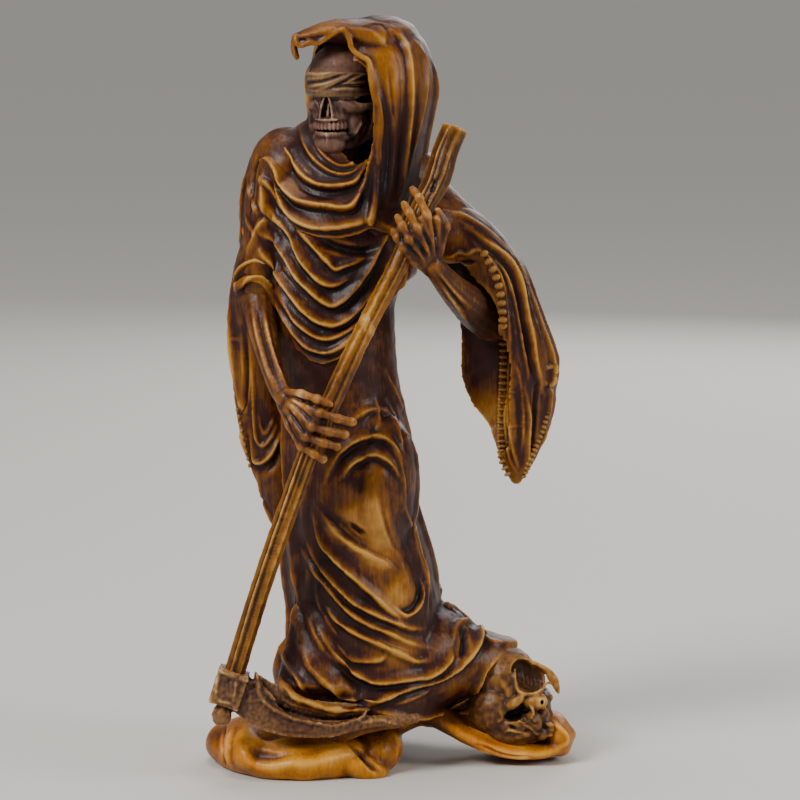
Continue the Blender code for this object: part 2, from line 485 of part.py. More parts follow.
# Broken skull fallen on the second pad.
fallen = skull("fallen", (32.6, 3.6, 17.6), 1.0, (-2, -22, 50), workshop, jaw=False)
cut(fallen, ball("broken_crown", (39, -0.5, 28.6), (6, 5, 4.6), workshop))

# One carving, its underside flat.
solid = fuse("grim_reaper_carving", [robe, left_sleeve, right_sleeve, hood, brim, head, *strips, neck, *bones, staff, blade,
                                     spike, socket, foot, fallen], workshop, SOLID_VOXEL, 2)
keep_largest(solid)
thin = solid.modifiers.new("facets", "DECIMATE")
thin.ratio = SOLID_TRIANGLES / sum(len(p.vertices) - 2 for p in solid.data.polygons)
apply_modifiers(solid)
mesh = bpy.data.meshes.new("ground")
shape = bmesh.new()
bmesh.ops.create_cube(shape, size=1.0)
shape.to_mesh(mesh)
shape.free()
ground = add_object("ground", mesh, workshop)
ground.scale = Vector((160, 160, 20)) * MM
ground.location = Vector((0, 0, -9.6)) * MM
cut(solid, ground)
keep_largest(solid)
workshop.objects.unlink(solid)
figurine.objects.link(solid)

# Height and place: the underside at zero, the box centred on the axis.
points = np.array([v.co for v in solid.data.vertices])
low, high = points.min(0), points.max(0)
points = (points - [(low[0] + high[0]) / 2, (low[1] + high[1]) / 2, low[2]]) * (HEIGHT / (high[2] - low[2]))
solid.data.vertices.foreach_set("co", points.ravel())
solid.data.update()

boxwood = bpy.data.materials.new("stained_boxwood")
boxwood.use_nodes = True
shader = boxwood.node_tree.nodes["Principled BSDF"]
shader.inputs["Base Color"].default_value = (0.13, 0.045, 0.014, 1)
shader.inputs["Roughness"].default_value = 0.35
solid.data.materials.clear()
solid.data.materials.append(boxwood)
bpy.data.collections.remove(workshop)
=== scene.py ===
"""Grim reaper figurine: one boxwood carving, stained dark, rubbed back to amber and varnished."""
import math

import bmesh
import bpy
import numpy as np
from mathutils import Euler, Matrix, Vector, noise
from mathutils.bvhtree import BVHTree


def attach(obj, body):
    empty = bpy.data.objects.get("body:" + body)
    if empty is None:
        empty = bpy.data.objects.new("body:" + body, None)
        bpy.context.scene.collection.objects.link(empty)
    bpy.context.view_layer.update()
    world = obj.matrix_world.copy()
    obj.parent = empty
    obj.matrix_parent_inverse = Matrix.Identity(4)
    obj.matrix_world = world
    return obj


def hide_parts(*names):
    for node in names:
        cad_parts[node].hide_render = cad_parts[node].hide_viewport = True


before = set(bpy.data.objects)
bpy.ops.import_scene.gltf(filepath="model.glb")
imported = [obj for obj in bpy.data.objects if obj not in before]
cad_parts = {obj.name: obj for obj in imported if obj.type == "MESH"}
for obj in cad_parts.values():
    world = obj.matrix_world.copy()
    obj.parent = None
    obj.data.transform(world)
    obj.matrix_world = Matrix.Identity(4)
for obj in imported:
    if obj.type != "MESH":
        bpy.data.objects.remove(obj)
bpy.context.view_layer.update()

# Stage: a pale table, soft window light from both sides and above, and the photograph's camera,
# which stands 950 mm off and looks 7 degrees down on a carving that is 200 mm tall.
MM = 0.001
NODE = "grim_reaper_carving"
LOOK_DOWN = 7.0
CAMERA_DISTANCE = 950 * MM
CAMERA_SIDE = 2.06 * MM
AIM_DEPTH = 3.58 * MM
AIM_HEIGHT = 98.1 * MM
SENSOR_WIDTH = 36
FOCAL_LENGTH = 160.3
SIGHT_END = 80
TABLE_REACH = 30
LIGHTS_AIM_HEIGHT = 0.1
WINDOWS = (("window_left", (-0.7, -0.7, 0.85), 0.36, 7.0), ("window_right", (0.9, -0.3, 0.5), 0.4, 5.0),
    ("sky", (-0.1, 0.1, 1.2), 0.6, 6.0), ("bounce_back", (0.3, 1.0, 0.5), 0.6, 4.0),)
DAYLIGHT_DEGREES = 25
DAYLIGHT_HEADING = (0.6, 0.62, -0.8)


def linear(hex_colour):
    """An sRGB hex colour as linear red, green, blue and alpha."""
    parts = [int(hex_colour[i:i + 2], 16) / 255 for i in (1, 3, 5)]
    return [p / 12.92 if p <= 0.04045 else ((p + 0.055) / 1.055) ** 2.4 for p in parts] + [1.0]


def node(tree, kind, links=(), **settings):
    """One node with its settings, and its inputs by name or number: a value, or another node's output."""
    made = tree.nodes.new(kind)
    for key, value in settings.items():
        setattr(made, key, value)
    for key, value in dict(links).items():
        if isinstance(value, bpy.types.NodeSocket):
            tree.links.new(value, made.inputs[key])
        else:
            made.inputs[key].default_value = value
    return made


table_mesh = bpy.data.meshes.new("table")
table_corners = [(x * TABLE_REACH, y * TABLE_REACH, 0) for x, y in ((-1, -1), (1, -1), (1, 1), (-1, 1))]
table_mesh.from_pydata(table_corners, [], [(0, 1, 2, 3)])
table = bpy.data.objects.new("table", table_mesh)
bpy.context.scene.collection.objects.link(table)
table_paint = bpy.data.materials.new("pale_matt_table")
table_paint.use_nodes = True
table_shader = table_paint.node_tree.nodes["Principled BSDF"]
table_shader.inputs["Base Color"].default_value = linear("#cfcac2")
table_shader.inputs["Roughness"].default_value = 0.8
table_mesh.materials.append(table_paint)

camera_data = bpy.data.cameras.new("camera")
camera_data.sensor_width = SENSOR_WIDTH
camera_data.lens = FOCAL_LENGTH
camera_data.clip_end = SIGHT_END
camera = bpy.data.objects.new("camera", camera_data)
down = math.radians(LOOK_DOWN)
camera.location = (CAMERA_SIDE, AIM_DEPTH - CAMERA_DISTANCE * math.cos(down), AIM_HEIGHT
    + CAMERA_DISTANCE * math.sin(down))
camera.rotation_euler = (math.pi / 2 - down, 0, 0)
bpy.context.scene.collection.objects.link(camera)
bpy.context.scene.camera = camera

for name, place, size, watts in WINDOWS:
    light_data = bpy.data.lights.new(name, "AREA")
    light_data.size = size
    light_data.energy = watts
    light = bpy.data.objects.new(name, light_data)
    light.location = place
    heading = Vector((0, 0, LIGHTS_AIM_HEIGHT)) - Vector(place)
    light.rotation_euler = heading.to_track_quat("-Z", "Y").to_euler()
    bpy.context.scene.collection.objects.link(light)
daylight_data = bpy.data.lights.new("daylight", "SUN")
daylight_data.energy = 1.4
daylight_data.angle = math.radians(DAYLIGHT_DEGREES)
daylight = bpy.data.objects.new("daylight", daylight_data)
daylight.rotation_euler = Vector(DAYLIGHT_HEADING).to_track_quat("-Z", "Y").to_euler()
bpy.context.scene.collection.objects.link(daylight)
world = bpy.data.worlds.new("soft_room")
world.use_nodes = True
room = world.node_tree.nodes["Background"]
room.inputs["Color"].default_value = linear("#dfe2e6")
room.inputs["Strength"].default_value = 0.25
bpy.context.scene.world = world

# Finish: boxwood, carved with knives and gouges, stained burgundy brown, wiped back to amber where
# a cloth rubs (crests), and varnished. Its colour also holds painted light: painted shade darkens the
# hollows and a painted highlight lightens the thin crests. Two attributes drive it: relief (hollow
# below 0, crest above 0), which lays stain and painted shade in hollows and wear and a painted highlight
# on crests, and rubbed (how far it is wiped off, with painted highlights in some rubbed spots and
# painted shade where it runs below 0).
GRAIN = (1, 1, 0.12)
GRAIN_DEPTH = 0.12
# A purple-grey painted sheen, laid over the wood in random patches.
SHEEN_GREY = "#5a4048"
COLOUR_STEPS = (0.06, 0.38, 0.68, 1.0)


def boxwood(name, colours, rubbed=0.0, pitted=0.3, grain_depth=GRAIN_DEPTH):
    """Stained wood in four colours, from the stain and painted shade of a hollow to a worn crest with
    a painted highlight. Rubbed lightens all of it, and pitted roughens it."""
    material = bpy.data.materials.new(name)
    material.use_nodes = True
    tree = material.node_tree
    shader = tree.nodes["Principled BSDF"]
    place = node(tree, "ShaderNodeTexCoord").outputs["Object"]
    along = node(tree, "ShaderNodeMapping", {"Vector": place, "Scale": GRAIN}).outputs["Vector"]
    relief, rubbed_and_painted_light = (
        node(tree, "ShaderNodeAttribute", attribute_name=key).outputs["Fac"]
        for key in ("relief", "rubbed"))
    streaks, clouds, specks, sheen_patches = (
        node(tree, "ShaderNodeTexNoise", {"Vector": vector, "Scale": scale, "Detail": detail,
            "Roughness": rough}).outputs["Fac"]
        for vector, scale, detail, rough in (
            (along, 1400.0, 5.0, 0.6), (place, 95.0, 4.0, 0.55), (place, 900.0, 3.0, 0.7),
            (place, 55.0, 2.0, 0.5)))
    # Relief lays stain and painted shade in hollows and wear and a painted highlight on crests; the rubbed
    # attribute adds wear, painted highlights and painted shade.
    mix = node(tree, "ShaderNodeMath", {0: relief, 1: 0.42}, operation="MULTIPLY").outputs[0]
    for part, share in ((rubbed_and_painted_light, 0.3), (clouds, 0.42), (streaks, 0.34)):
        mix = node(tree, "ShaderNodeMath", {0: part, 1: share, 2: mix}, operation="MULTIPLY_ADD").outputs[0]
    mix = node(tree, "ShaderNodeMath", {0: mix, 1: rubbed}, operation="ADD").outputs[0]
    ramp = node(tree, "ShaderNodeValToRGB", {"Fac": mix})
    stops = ramp.color_ramp.elements
    for _ in range(2):
        stops.new(0.5)
    for stop, at, colour in zip(stops, COLOUR_STEPS, colours.split()):
        stop.position = at
        stop.color = linear(colour)
    # Painted sheen: random patches tinted purple-grey.
    sheen_patches = node(tree, "ShaderNodeMapRange", {"Value": sheen_patches, "From Min": 0.45, "From Max": 0.68,
        "To Max": 0.5})
    tint = node(tree, "ShaderNodeMix", {"Factor": sheen_patches.outputs["Result"], "A": ramp.outputs["Color"],
        "B": linear(SHEEN_GREY)}, data_type="RGBA", blend_type="SOFT_LIGHT")
    tree.links.new(tint.outputs["Result"], shader.inputs["Base Color"])
    rough = node(tree, "ShaderNodeMapRange", {"Value": mix, "To Min": 0.55, "To Max": 0.38})
    tree.links.new(rough.outputs["Result"], shader.inputs["Roughness"])
    height = node(tree, "ShaderNodeMath", {0: specks, 1: pitted, 2: streaks},
        operation="MULTIPLY_ADD").outputs[0]
    bump = node(tree, "ShaderNodeBump", {"Height": height, "Strength": 0.9, "Distance": grain_depth * MM})
    for key in ("Normal", "Coat Normal"):
        tree.links.new(bump.outputs["Normal"], shader.inputs[key])
    shader.inputs["Specular IOR Level"].default_value = 0.17
    shader.inputs["Coat Weight"].default_value = 0.17
    shader.inputs["Coat Roughness"].default_value = 0.2
    return material


# The four colours of each finish run from the stain and painted shade of a hollow, through the body and the
# rubbed amber, to a pale worn crest that is partly a painted highlight.
robe_finish = boxwood("boxwood_robe_burgundy_stain", "#120605 #3a1810 #8e560a #c09044")
golden_finish = boxwood("boxwood_rubbed_golden", "#1c0b05 #66360f #c8800c #e6b258", rubbed=0.1)
staff_finish = boxwood("boxwood_staff_riven", "#120805 #42250e #945e14 #d0a558", pitted=0.6)
bone_finish = boxwood("boxwood_bone_rubbed", "#120705 #4c2814 #9a6220 #dcb478", rubbed=-0.04)
skull_finish = boxwood("boxwood_skull_smoked", "#0e0706 #432b24 #785646 #b4967a", rubbed=0.04, pitted=0.6)
bandage_finish = boxwood("boxwood_bandage_smoked", "#140a07 #462c22 #80603e #b89868", pitted=0.6)
old_skull_finish = boxwood("boxwood_old_skull", "#140906 #50311b #966424 #d4aa60", pitted=0.8)
iron_finish = boxwood("boxwood_blade_gouged", "#150a07 #583b2a #8e6436 #d0ac76", pitted=1.6,
    grain_depth=0.2)

# Tools: bodies, cutters, folds, knife marks and the finish, all in drawing millimetres.
DRAWN_AT = Vector((-0.606, 3.58, -0.4)) * MM
DRAWN_SCALE = 1.0012
THIN_RIDGE = 1.9
SWAG_HOLLOW = 0.4
LINE_STEP = 0.4
BATCH = 20000
FINE_RELIEF, BROAD_RELIEF = 3.3, 0.5
FINE_REACH, BROAD_REACH, MOST_ROUNDS = 0.8, 9, 60
SPOT_FALLOFF = 1.5
FRONT_EYE = Vector((0.0, -943.0, 214.0)) * MM
BACK_EYE = Vector((0.0, 943.0, 150.0)) * MM
LEFT_EYE = Vector((-943.0, 0.0, 120.0)) * MM
RIGHT_EYE = Vector((943.0, 0.0, 120.0)) * MM


def spline(rows, steps):
    """Rows of numbers, smoothed by a Catmull-Rom curve through them."""
    rows = np.array(rows, float)
    ends = np.vstack([2 * rows[0] - rows[1], rows, 2 * rows[-1] - rows[-2]])
    out = []
    for a, b, c, d in zip(ends[:-3], ends[1:-2], ends[2:-1], ends[3:]):
        for t in np.arange(steps) / steps:
            out.append(0.5 * (2 * b + (c - a) * t + (2 * a - 5 * b + 4 * c - d) * t * t
                + (3 * b - a - 3 * c + d) * t ** 3))
    out.append(rows[-1])
    return np.array(out)


def block(name, points, faces):
    """An object of that name from plain points and faces."""
    mesh = bpy.data.meshes.new(name)
    mesh.from_pydata(points, [], faces)
    obj = bpy.data.objects.new(name, mesh)
    bpy.context.scene.collection.objects.link(obj)
    return obj


def loft(rows, across=(1, 0, 0), around=48, steps=5, cap=0.8):
    """A rounded body through rows of x, y, z, half width and half depth, in drawing millimetres.
    The width lies along across, and the depth square to it and to the path."""
    rows = spline(rows, steps)
    rows[:, 3:] = np.maximum(rows[:, 3:], 0.3)
    along = np.gradient(rows[:, :3], axis=0)
    along /= np.linalg.norm(along, axis=1)[:, None]
    wide = np.array(across, float) - along * (along @ np.array(across, float))[:, None]
    wide /= np.linalg.norm(wide, axis=1)[:, None]
    deep = np.cross(along, wide)
    turn = np.linspace(0, 2 * math.pi, around, endpoint=False)
    order = [(0, -slope) for slope in (75, 50, 25)] + [(i, 0) for i in range(len(rows))]
    order += [(-1, slope) for slope in (25, 50, 75)]
    sections = []
    for i, slope in order:
        share, push = math.cos(math.radians(slope)), math.sin(math.radians(slope)) * cap * min(rows[i, 3:])
        ring = rows[i, 3] * np.cos(turn)[:, None] * wide[i] + rows[i, 4] * np.sin(turn)[:, None] * deep[i]
        sections.append(rows[i, :3] + along[i] * push + share * ring)
    faces = []
    for k in range(len(sections) - 1):
        for j in range(around):
            a, b = k * around + j, k * around + (j + 1) % around
            faces.append((a, b, b + around, a + around))
    last = (len(sections) - 1) * around
    faces += [tuple(reversed(range(around))), tuple(range(last, last + around))]
    return block("loft", (np.concatenate(sections) * MM).tolist(), faces)


def ball(centre, radii, turn=(0, 0, 0)):
    """An ellipsoid, its centre and radii in drawing millimetres and its turn in degrees."""
    shape = bmesh.new()
    bmesh.ops.create_uvsphere(shape, u_segments=40, v_segments=24, radius=1.0)
    mesh = bpy.data.meshes.new("ball")
    shape.to_mesh(mesh)
    shape.free()
    obj = bpy.data.objects.new("ball", mesh)
    bpy.context.scene.collection.objects.link(obj)
    obj.location = Vector(centre) * MM
    obj.scale = Vector(radii) * MM
    obj.rotation_euler = [math.radians(a) for a in turn]
    return obj


def tube(rows, radius=1.0):
    """A round limb through rows of x, y, z and a share of radius."""
    return loft([(x, y, z, radius * r, radius * r) for x, y, z, r in rows], (0, 1, 0), 14, 5, 1.0)


def prism(outline, low_y, high_y):
    """An upright slab with that outline of x, z, from one depth to the other."""
    count = len(outline)
    points = [(x * MM, y * MM, z * MM) for y in (low_y, high_y) for x, z in outline]
    faces = [tuple(range(count)), tuple(reversed(range(count, 2 * count)))]
    faces += [(i, (i + 1) % count, (i + 1) % count + count, i + count) for i in range(count)]
    return block("prism", points, faces)


def settle(obj):
    """Writes the modifiers' result into the mesh."""
    obj.data = bpy.data.meshes.new_from_object(obj.evaluated_get(bpy.context.evaluated_depsgraph_get()))
    obj.modifiers.clear()


def join(objects):
    """One object in place of several, as they stand, with faces turned outward."""
    bpy.context.view_layer.update()
    shape = bmesh.new()
    for obj in objects:
        piece = obj.data.copy()
        piece.transform(obj.matrix_world)
        shape.from_mesh(piece)
        bpy.data.objects.remove(obj)
    bmesh.ops.recalc_face_normals(shape, faces=shape.faces)
    mesh = bpy.data.meshes.new("joined")
    shape.to_mesh(mesh)
    shape.free()
    obj = bpy.data.objects.new("joined", mesh)
    bpy.context.scene.collection.objects.link(obj)
    return obj


def fuse(objects, voxel, rounds=6):
    """One closed skin round the objects, its seams eased."""
    obj = join(objects)
    remesh = obj.modifiers.new("one_skin", "REMESH")
    remesh.mode = "VOXEL"
    remesh.voxel_size = voxel * MM
    ease = obj.modifiers.new("ease", "SMOOTH")
    ease.factor = 0.5
    ease.iterations = rounds
    settle(obj)
    return obj


def cut(obj, cutter):
    """The cutter's volume taken out of the object, and the cutter removed."""
    cutter = join([cutter])
    take = obj.modifiers.new("cut", "BOOLEAN")
    take.operation = "DIFFERENCE"
    take.solver = "EXACT"
    take.object = cutter
    settle(obj)
    bpy.data.objects.remove(cutter)


def vertex_table(mesh, field):
    """A vector per vertex, as rows."""
    values = np.empty(len(mesh.vertices) * 3)
    mesh.vertices.foreach_get(field, values)
    return values.reshape(-1, 3)


def surface(mesh):
    """The mesh as something that a sight line can hit."""
    corners = [Vector(p) for p in vertex_table(mesh, "co")]
    return BVHTree.FromPolygons(corners, [p.vertices for p in mesh.polygons])


def carve(obj, folds, eye=FRONT_EYE):
    """Cuts folds. A fold is a line, a height, the widths of its left and right flanks as the line
    runs, and how sharp its crest is (1 a tent, 2 a thin ridge, 0.5 a roll). The line is drawn in two
    coordinates, as seen from the eye on the upright plane through the axis, or in three, near the
    surface. A flank less than half as wide as the other falls into a hollow, like the lower edge of
    a slack swag. A height below zero cuts a groove."""
    mesh = obj.data
    points, normals = vertex_table(mesh, "co"), vertex_table(mesh, "normal")
    tree = surface(mesh)
    sideways = abs(eye.x) > abs(eye.y)
    rise = np.zeros(len(points))
    sink = np.zeros(len(points))
    for line, height, left, right, *rest in folds:
        sharp = rest[0] if rest else THIN_RIDGE
        run = np.linalg.norm(np.diff(np.array(line, float), axis=0), axis=1).sum()
        spots, facing = [], []
        for spot in spline(line, max(4, math.ceil(run / LINE_STEP / (len(line) - 1)))):
            if len(spot) == 2:
                spot = (0.0, spot[0], spot[1]) if sideways else (spot[0], 0.0, spot[1])
            target = Vector(spot) * MM
            ray = (target - eye).normalized()
            hit, normal = tree.ray_cast(eye, ray)[:2]
            if hit is not None and normal.dot(ray) < -0.1:
                spots.append(hit)
                facing.append(normal)
        if len(spots) < 4:
            continue
        spots, facing = np.array(spots), np.array(facing)
        along = np.gradient(spots, axis=0)
        along /= np.linalg.norm(along, axis=1)[:, None] + 1e-12
        narrow, wide = sorted((left, right))
        reach = max(wide * 1.3, 3.2 * narrow) * MM
        near = np.where(((points > spots.min(0) - reach) & (points < spots.max(0) + reach)).all(1))[0]
        pick = np.empty(len(near), int)
        for start in range(0, len(near), BATCH):
            part = points[near[start:start + BATCH]]
            pick[start:start + BATCH] = ((spots ** 2).sum(1)[None] - 2 * part @ spots.T).argmin(1)
        gap = points[near] - spots[pick]
        side = np.einsum("ij,ij->i", gap, np.cross(facing, along)[pick])
        past = np.abs(np.einsum("ij,ij->i", gap, along[pick]))
        deep = np.abs(np.einsum("ij,ij->i", gap, facing[pick]))
        off = np.hypot(side, past) / (np.where(side > 0, left, right) * MM)
        share = np.clip(1 - off, 0, 1) ** sharp if sharp >= 1 else np.clip(1 - off ** (1 / sharp), 0, 1)
        if height > 0 and wide > 2 * narrow:
            hollow = SWAG_HOLLOW * np.clip(off, 0, 1) * np.clip((3.2 - off) / 2.2, 0, 1)
            share -= np.where((side > 0) == (left < right), hollow, 0)
        share *= np.clip(2 - deep / reach * 1.3, 0, 1)
        share *= np.clip(3 * np.einsum("ij,ij->i", normals[near], facing[pick]), 0, 1)
        ends = np.minimum(pick, len(spots) - 1 - pick) / (0.25 * len(spots))
        share *= np.clip(0.12 + ends, 0, 1) * height * MM
        rise[near] = np.maximum(rise[near], share)
        sink[near] = np.minimum(sink[near], share)
    mesh.vertices.foreach_set("co", (points + normals * (rise + sink)[:, None]).ravel())
    mesh.update()


def seen_on(obj, line):
    """The points of an object's front that the eye sees along a line drawn like a fold's."""
    tree = surface(obj.data)
    hits = [tree.ray_cast(FRONT_EYE, Vector((x, 0.0, z)) * MM - FRONT_EYE)[0] for x, z in line]
    return [tuple(hit / MM) for hit in hits if hit is not None]


def smoothed(points, edges, rounds):
    """The points after rounds of pulling each to the middle of its neighbours."""
    count = np.bincount(edges.ravel(), minlength=len(points)).astype(float)[:, None]
    for _ in range(rounds):
        total = np.stack([
            np.bincount(edges[:, 0], points[edges[:, 1], k], len(points))
            + np.bincount(edges[:, 1], points[edges[:, 0], k], len(points)) for k in range(3)], 1)
        points = 0.35 * points + 0.65 * total / np.maximum(count, 1)
    return points


def tool_marks(obj, size, depth, seed=0.0):
    """Shallow unevenness left by knife and gouge."""
    mesh = obj.data
    points, normals = vertex_table(mesh, "co"), vertex_table(mesh, "normal")
    shift = Vector((seed, seed * 0.7, -seed))
    wave = np.array([noise.noise(Vector(p) / (size * MM) + shift) for p in points])
    mesh.vertices.foreach_set("co", (points + normals * (wave * depth * MM)[:, None]).ravel())
    mesh.update()


def finish(obj, name, material, wear_and_painted_light_spots=(), painted_shade_hollows=(), ease=1, keep=1.0):
    """Names and places a piece, gives it its finish and its relief and rubbed attributes, thins its
    mesh to the share kept, and puts it on the frame in the carving's stead. A rubbed spot is a centre,
    a reach and an amount: above 0 it lightens as rubbed wear, in places a painted highlight, and below
    0 it darkens as painted shade. A hollow is the same and darkens only what faces its centre, as
    painted shade inside a hood, a sleeve or a socket."""
    mesh = obj.data
    edges = np.empty(len(mesh.edges) * 2, int)
    mesh.edges.foreach_get("vertices", edges)
    edges = edges.reshape(-1, 2)
    points = smoothed(vertex_table(mesh, "co"), edges, ease)
    mesh.vertices.foreach_set("co", points.ravel())
    mesh.update()
    normals = vertex_table(mesh, "normal")
    size = float(np.median(np.linalg.norm(points[edges[:, 0]] - points[edges[:, 1]], axis=1))) / MM
    fine = smoothed(points, edges, max(2, round(FINE_REACH / size ** 2)))
    broad = smoothed(fine, edges, max(6, min(MOST_ROUNDS, round(BROAD_REACH / size ** 2))))
    relief = FINE_RELIEF * ((points - fine) * normals).sum(1) / MM
    relief = relief + BROAD_RELIEF * ((fine - broad) * normals).sum(1) / MM
    rubbed_and_painted_light = np.zeros(len(points))
    for centre, reach, amount in wear_and_painted_light_spots:
        distance = np.linalg.norm(points / MM - np.array(centre), axis=1) / reach
        rubbed_and_painted_light += amount * np.exp(-distance ** 2 * SPOT_FALLOFF)
    # Painted shade: darkens what faces a hollow's centre, as if shade fell inside it.
    for centre, reach, amount in painted_shade_hollows:
        inward = np.array(centre) - points / MM
        distance = np.linalg.norm(inward, axis=1)
        facing = np.clip(2 * (inward * normals).sum(1) / (distance + 1e-9), 0, 1)
        rubbed_and_painted_light -= amount * facing * np.exp(-(distance / reach) ** 2 * SPOT_FALLOFF)
    # The rubbed attribute carries rubbed wear together with painted highlights and painted shade.
    for key, values in (("relief", np.clip(relief, -1.2, 1.5)), ("rubbed", np.clip(rubbed_and_painted_light, -1, 1.4))):
        mesh.attributes.new(key, "FLOAT", "POINT").data.foreach_set("value", values.astype(np.float32))
    if keep < 1:
        thin = obj.modifiers.new("thin", "DECIMATE")
        thin.ratio = keep
        settle(obj)
        mesh = obj.data
    points = (vertex_table(mesh, "co") + np.array(DRAWN_AT)) * DRAWN_SCALE
    points[:, 2] = np.maximum(points[:, 2], 0.0)
    mesh.vertices.foreach_set("co", points.ravel())
    mesh.polygons.foreach_set("use_smooth", [True] * len(mesh.polygons))
    mesh.update()
    mesh.materials.clear()
    mesh.materials.append(material)
    obj.name = name
    mesh.name = name
    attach(obj, "root")
    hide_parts(NODE)
    return obj


# Tunic: the long inner robe, carved from hip to hem over a bent knee, its train running out over
# the fallen skull. Cut with gouges in long diagonal folds that end in crisp, polished crests.
tunic = fuse([
    loft([(-13, 2, 146, 17, 15), (-13.4, 1, 136, 17, 16.6), (-15.2, 1, 125, 16.6, 17.6),
      (-14.8, 1, 112, 16.5, 18), (-13.7, 1, 98, 16.5, 18.5), (-12.4, 0, 88, 16.8, 20),
      (-12, 0, 77, 16.3, 21.5), (-10.7, 1, 66, 17.7, 22.5), (-9, 2, 55, 19.2, 23.5), (-7, 3, 44, 20, 24.5),
      (-6, 4, 33, 21.5, 25.5), (-6.5, 4, 24, 23, 25.5), (-8, 4, 16, 22, 25.5), (-10.5, 3, 10, 18, 24)]),
    ball((-4, -9.5, 72), (10.5, 12, 24), (6, 8, 0)),
    loft([(0, 3, 27, 20, 17), (9, 3, 28.4, 18, 15.5), (16, 4, 28.4, 15, 13), (22, 4.4, 28.6, 12, 10),
      (28, 5.4, 30, 7.4, 5), (33, 7, 31.2, 3.4, 1.7)], across=(0, 1, 0)),
    loft([(-16, -7, 46, 8, 9), (-17, -11, 36, 9.6, 9.6), (-18, -14, 27, 11, 9.8),
      (-18.5, -15.6, 22.4, 12, 10)], cap=0.1),
    tube([(-29, -20, 27, 0.7), (-27.4, -22.4, 25.4, 1.1), (-25.2, -24.6, 23.2, 1),
      (-23.6, -25.2, 21.8, 1.3), (-22, -25.6, 21.6, 1), (-19.6, -25.8, 20.6, 1.3),
      (-17.6, -25.6, 20.2, 0.9), (-15.2, -25.2, 19.4, 1.3), (-12.4, -24.6, 19.4, 1),
      (-9.6, -23.6, 19.2, 1.3), (-7, -22.6, 19.6, 0.9), (-4, -21, 20, 0.7)], 1.2),
    loft([(-22, 0, 30, 6, 7), (-24.6, -1, 27.4, 5.4, 7), (-25.6, -2, 23.6, 5, 7), (-23, -2, 17, 5, 7)]),
    ball((21.5, 5, 13.8), (6.5, 8, 6)),
], 0.44, 12)
cut(tunic, prism([(2.5, -5), (17, -5), (17, 8), (8, 9.5), (2.5, 9)], 0, 40))
cut(tunic, prism([(-15, -5), (40, -5), (40, 13), (8, 13.6), (0, 13), (-6, 12.2), (-15, 8.4)], -40, 2))
tunic = fuse([tunic], 0.44, 3)
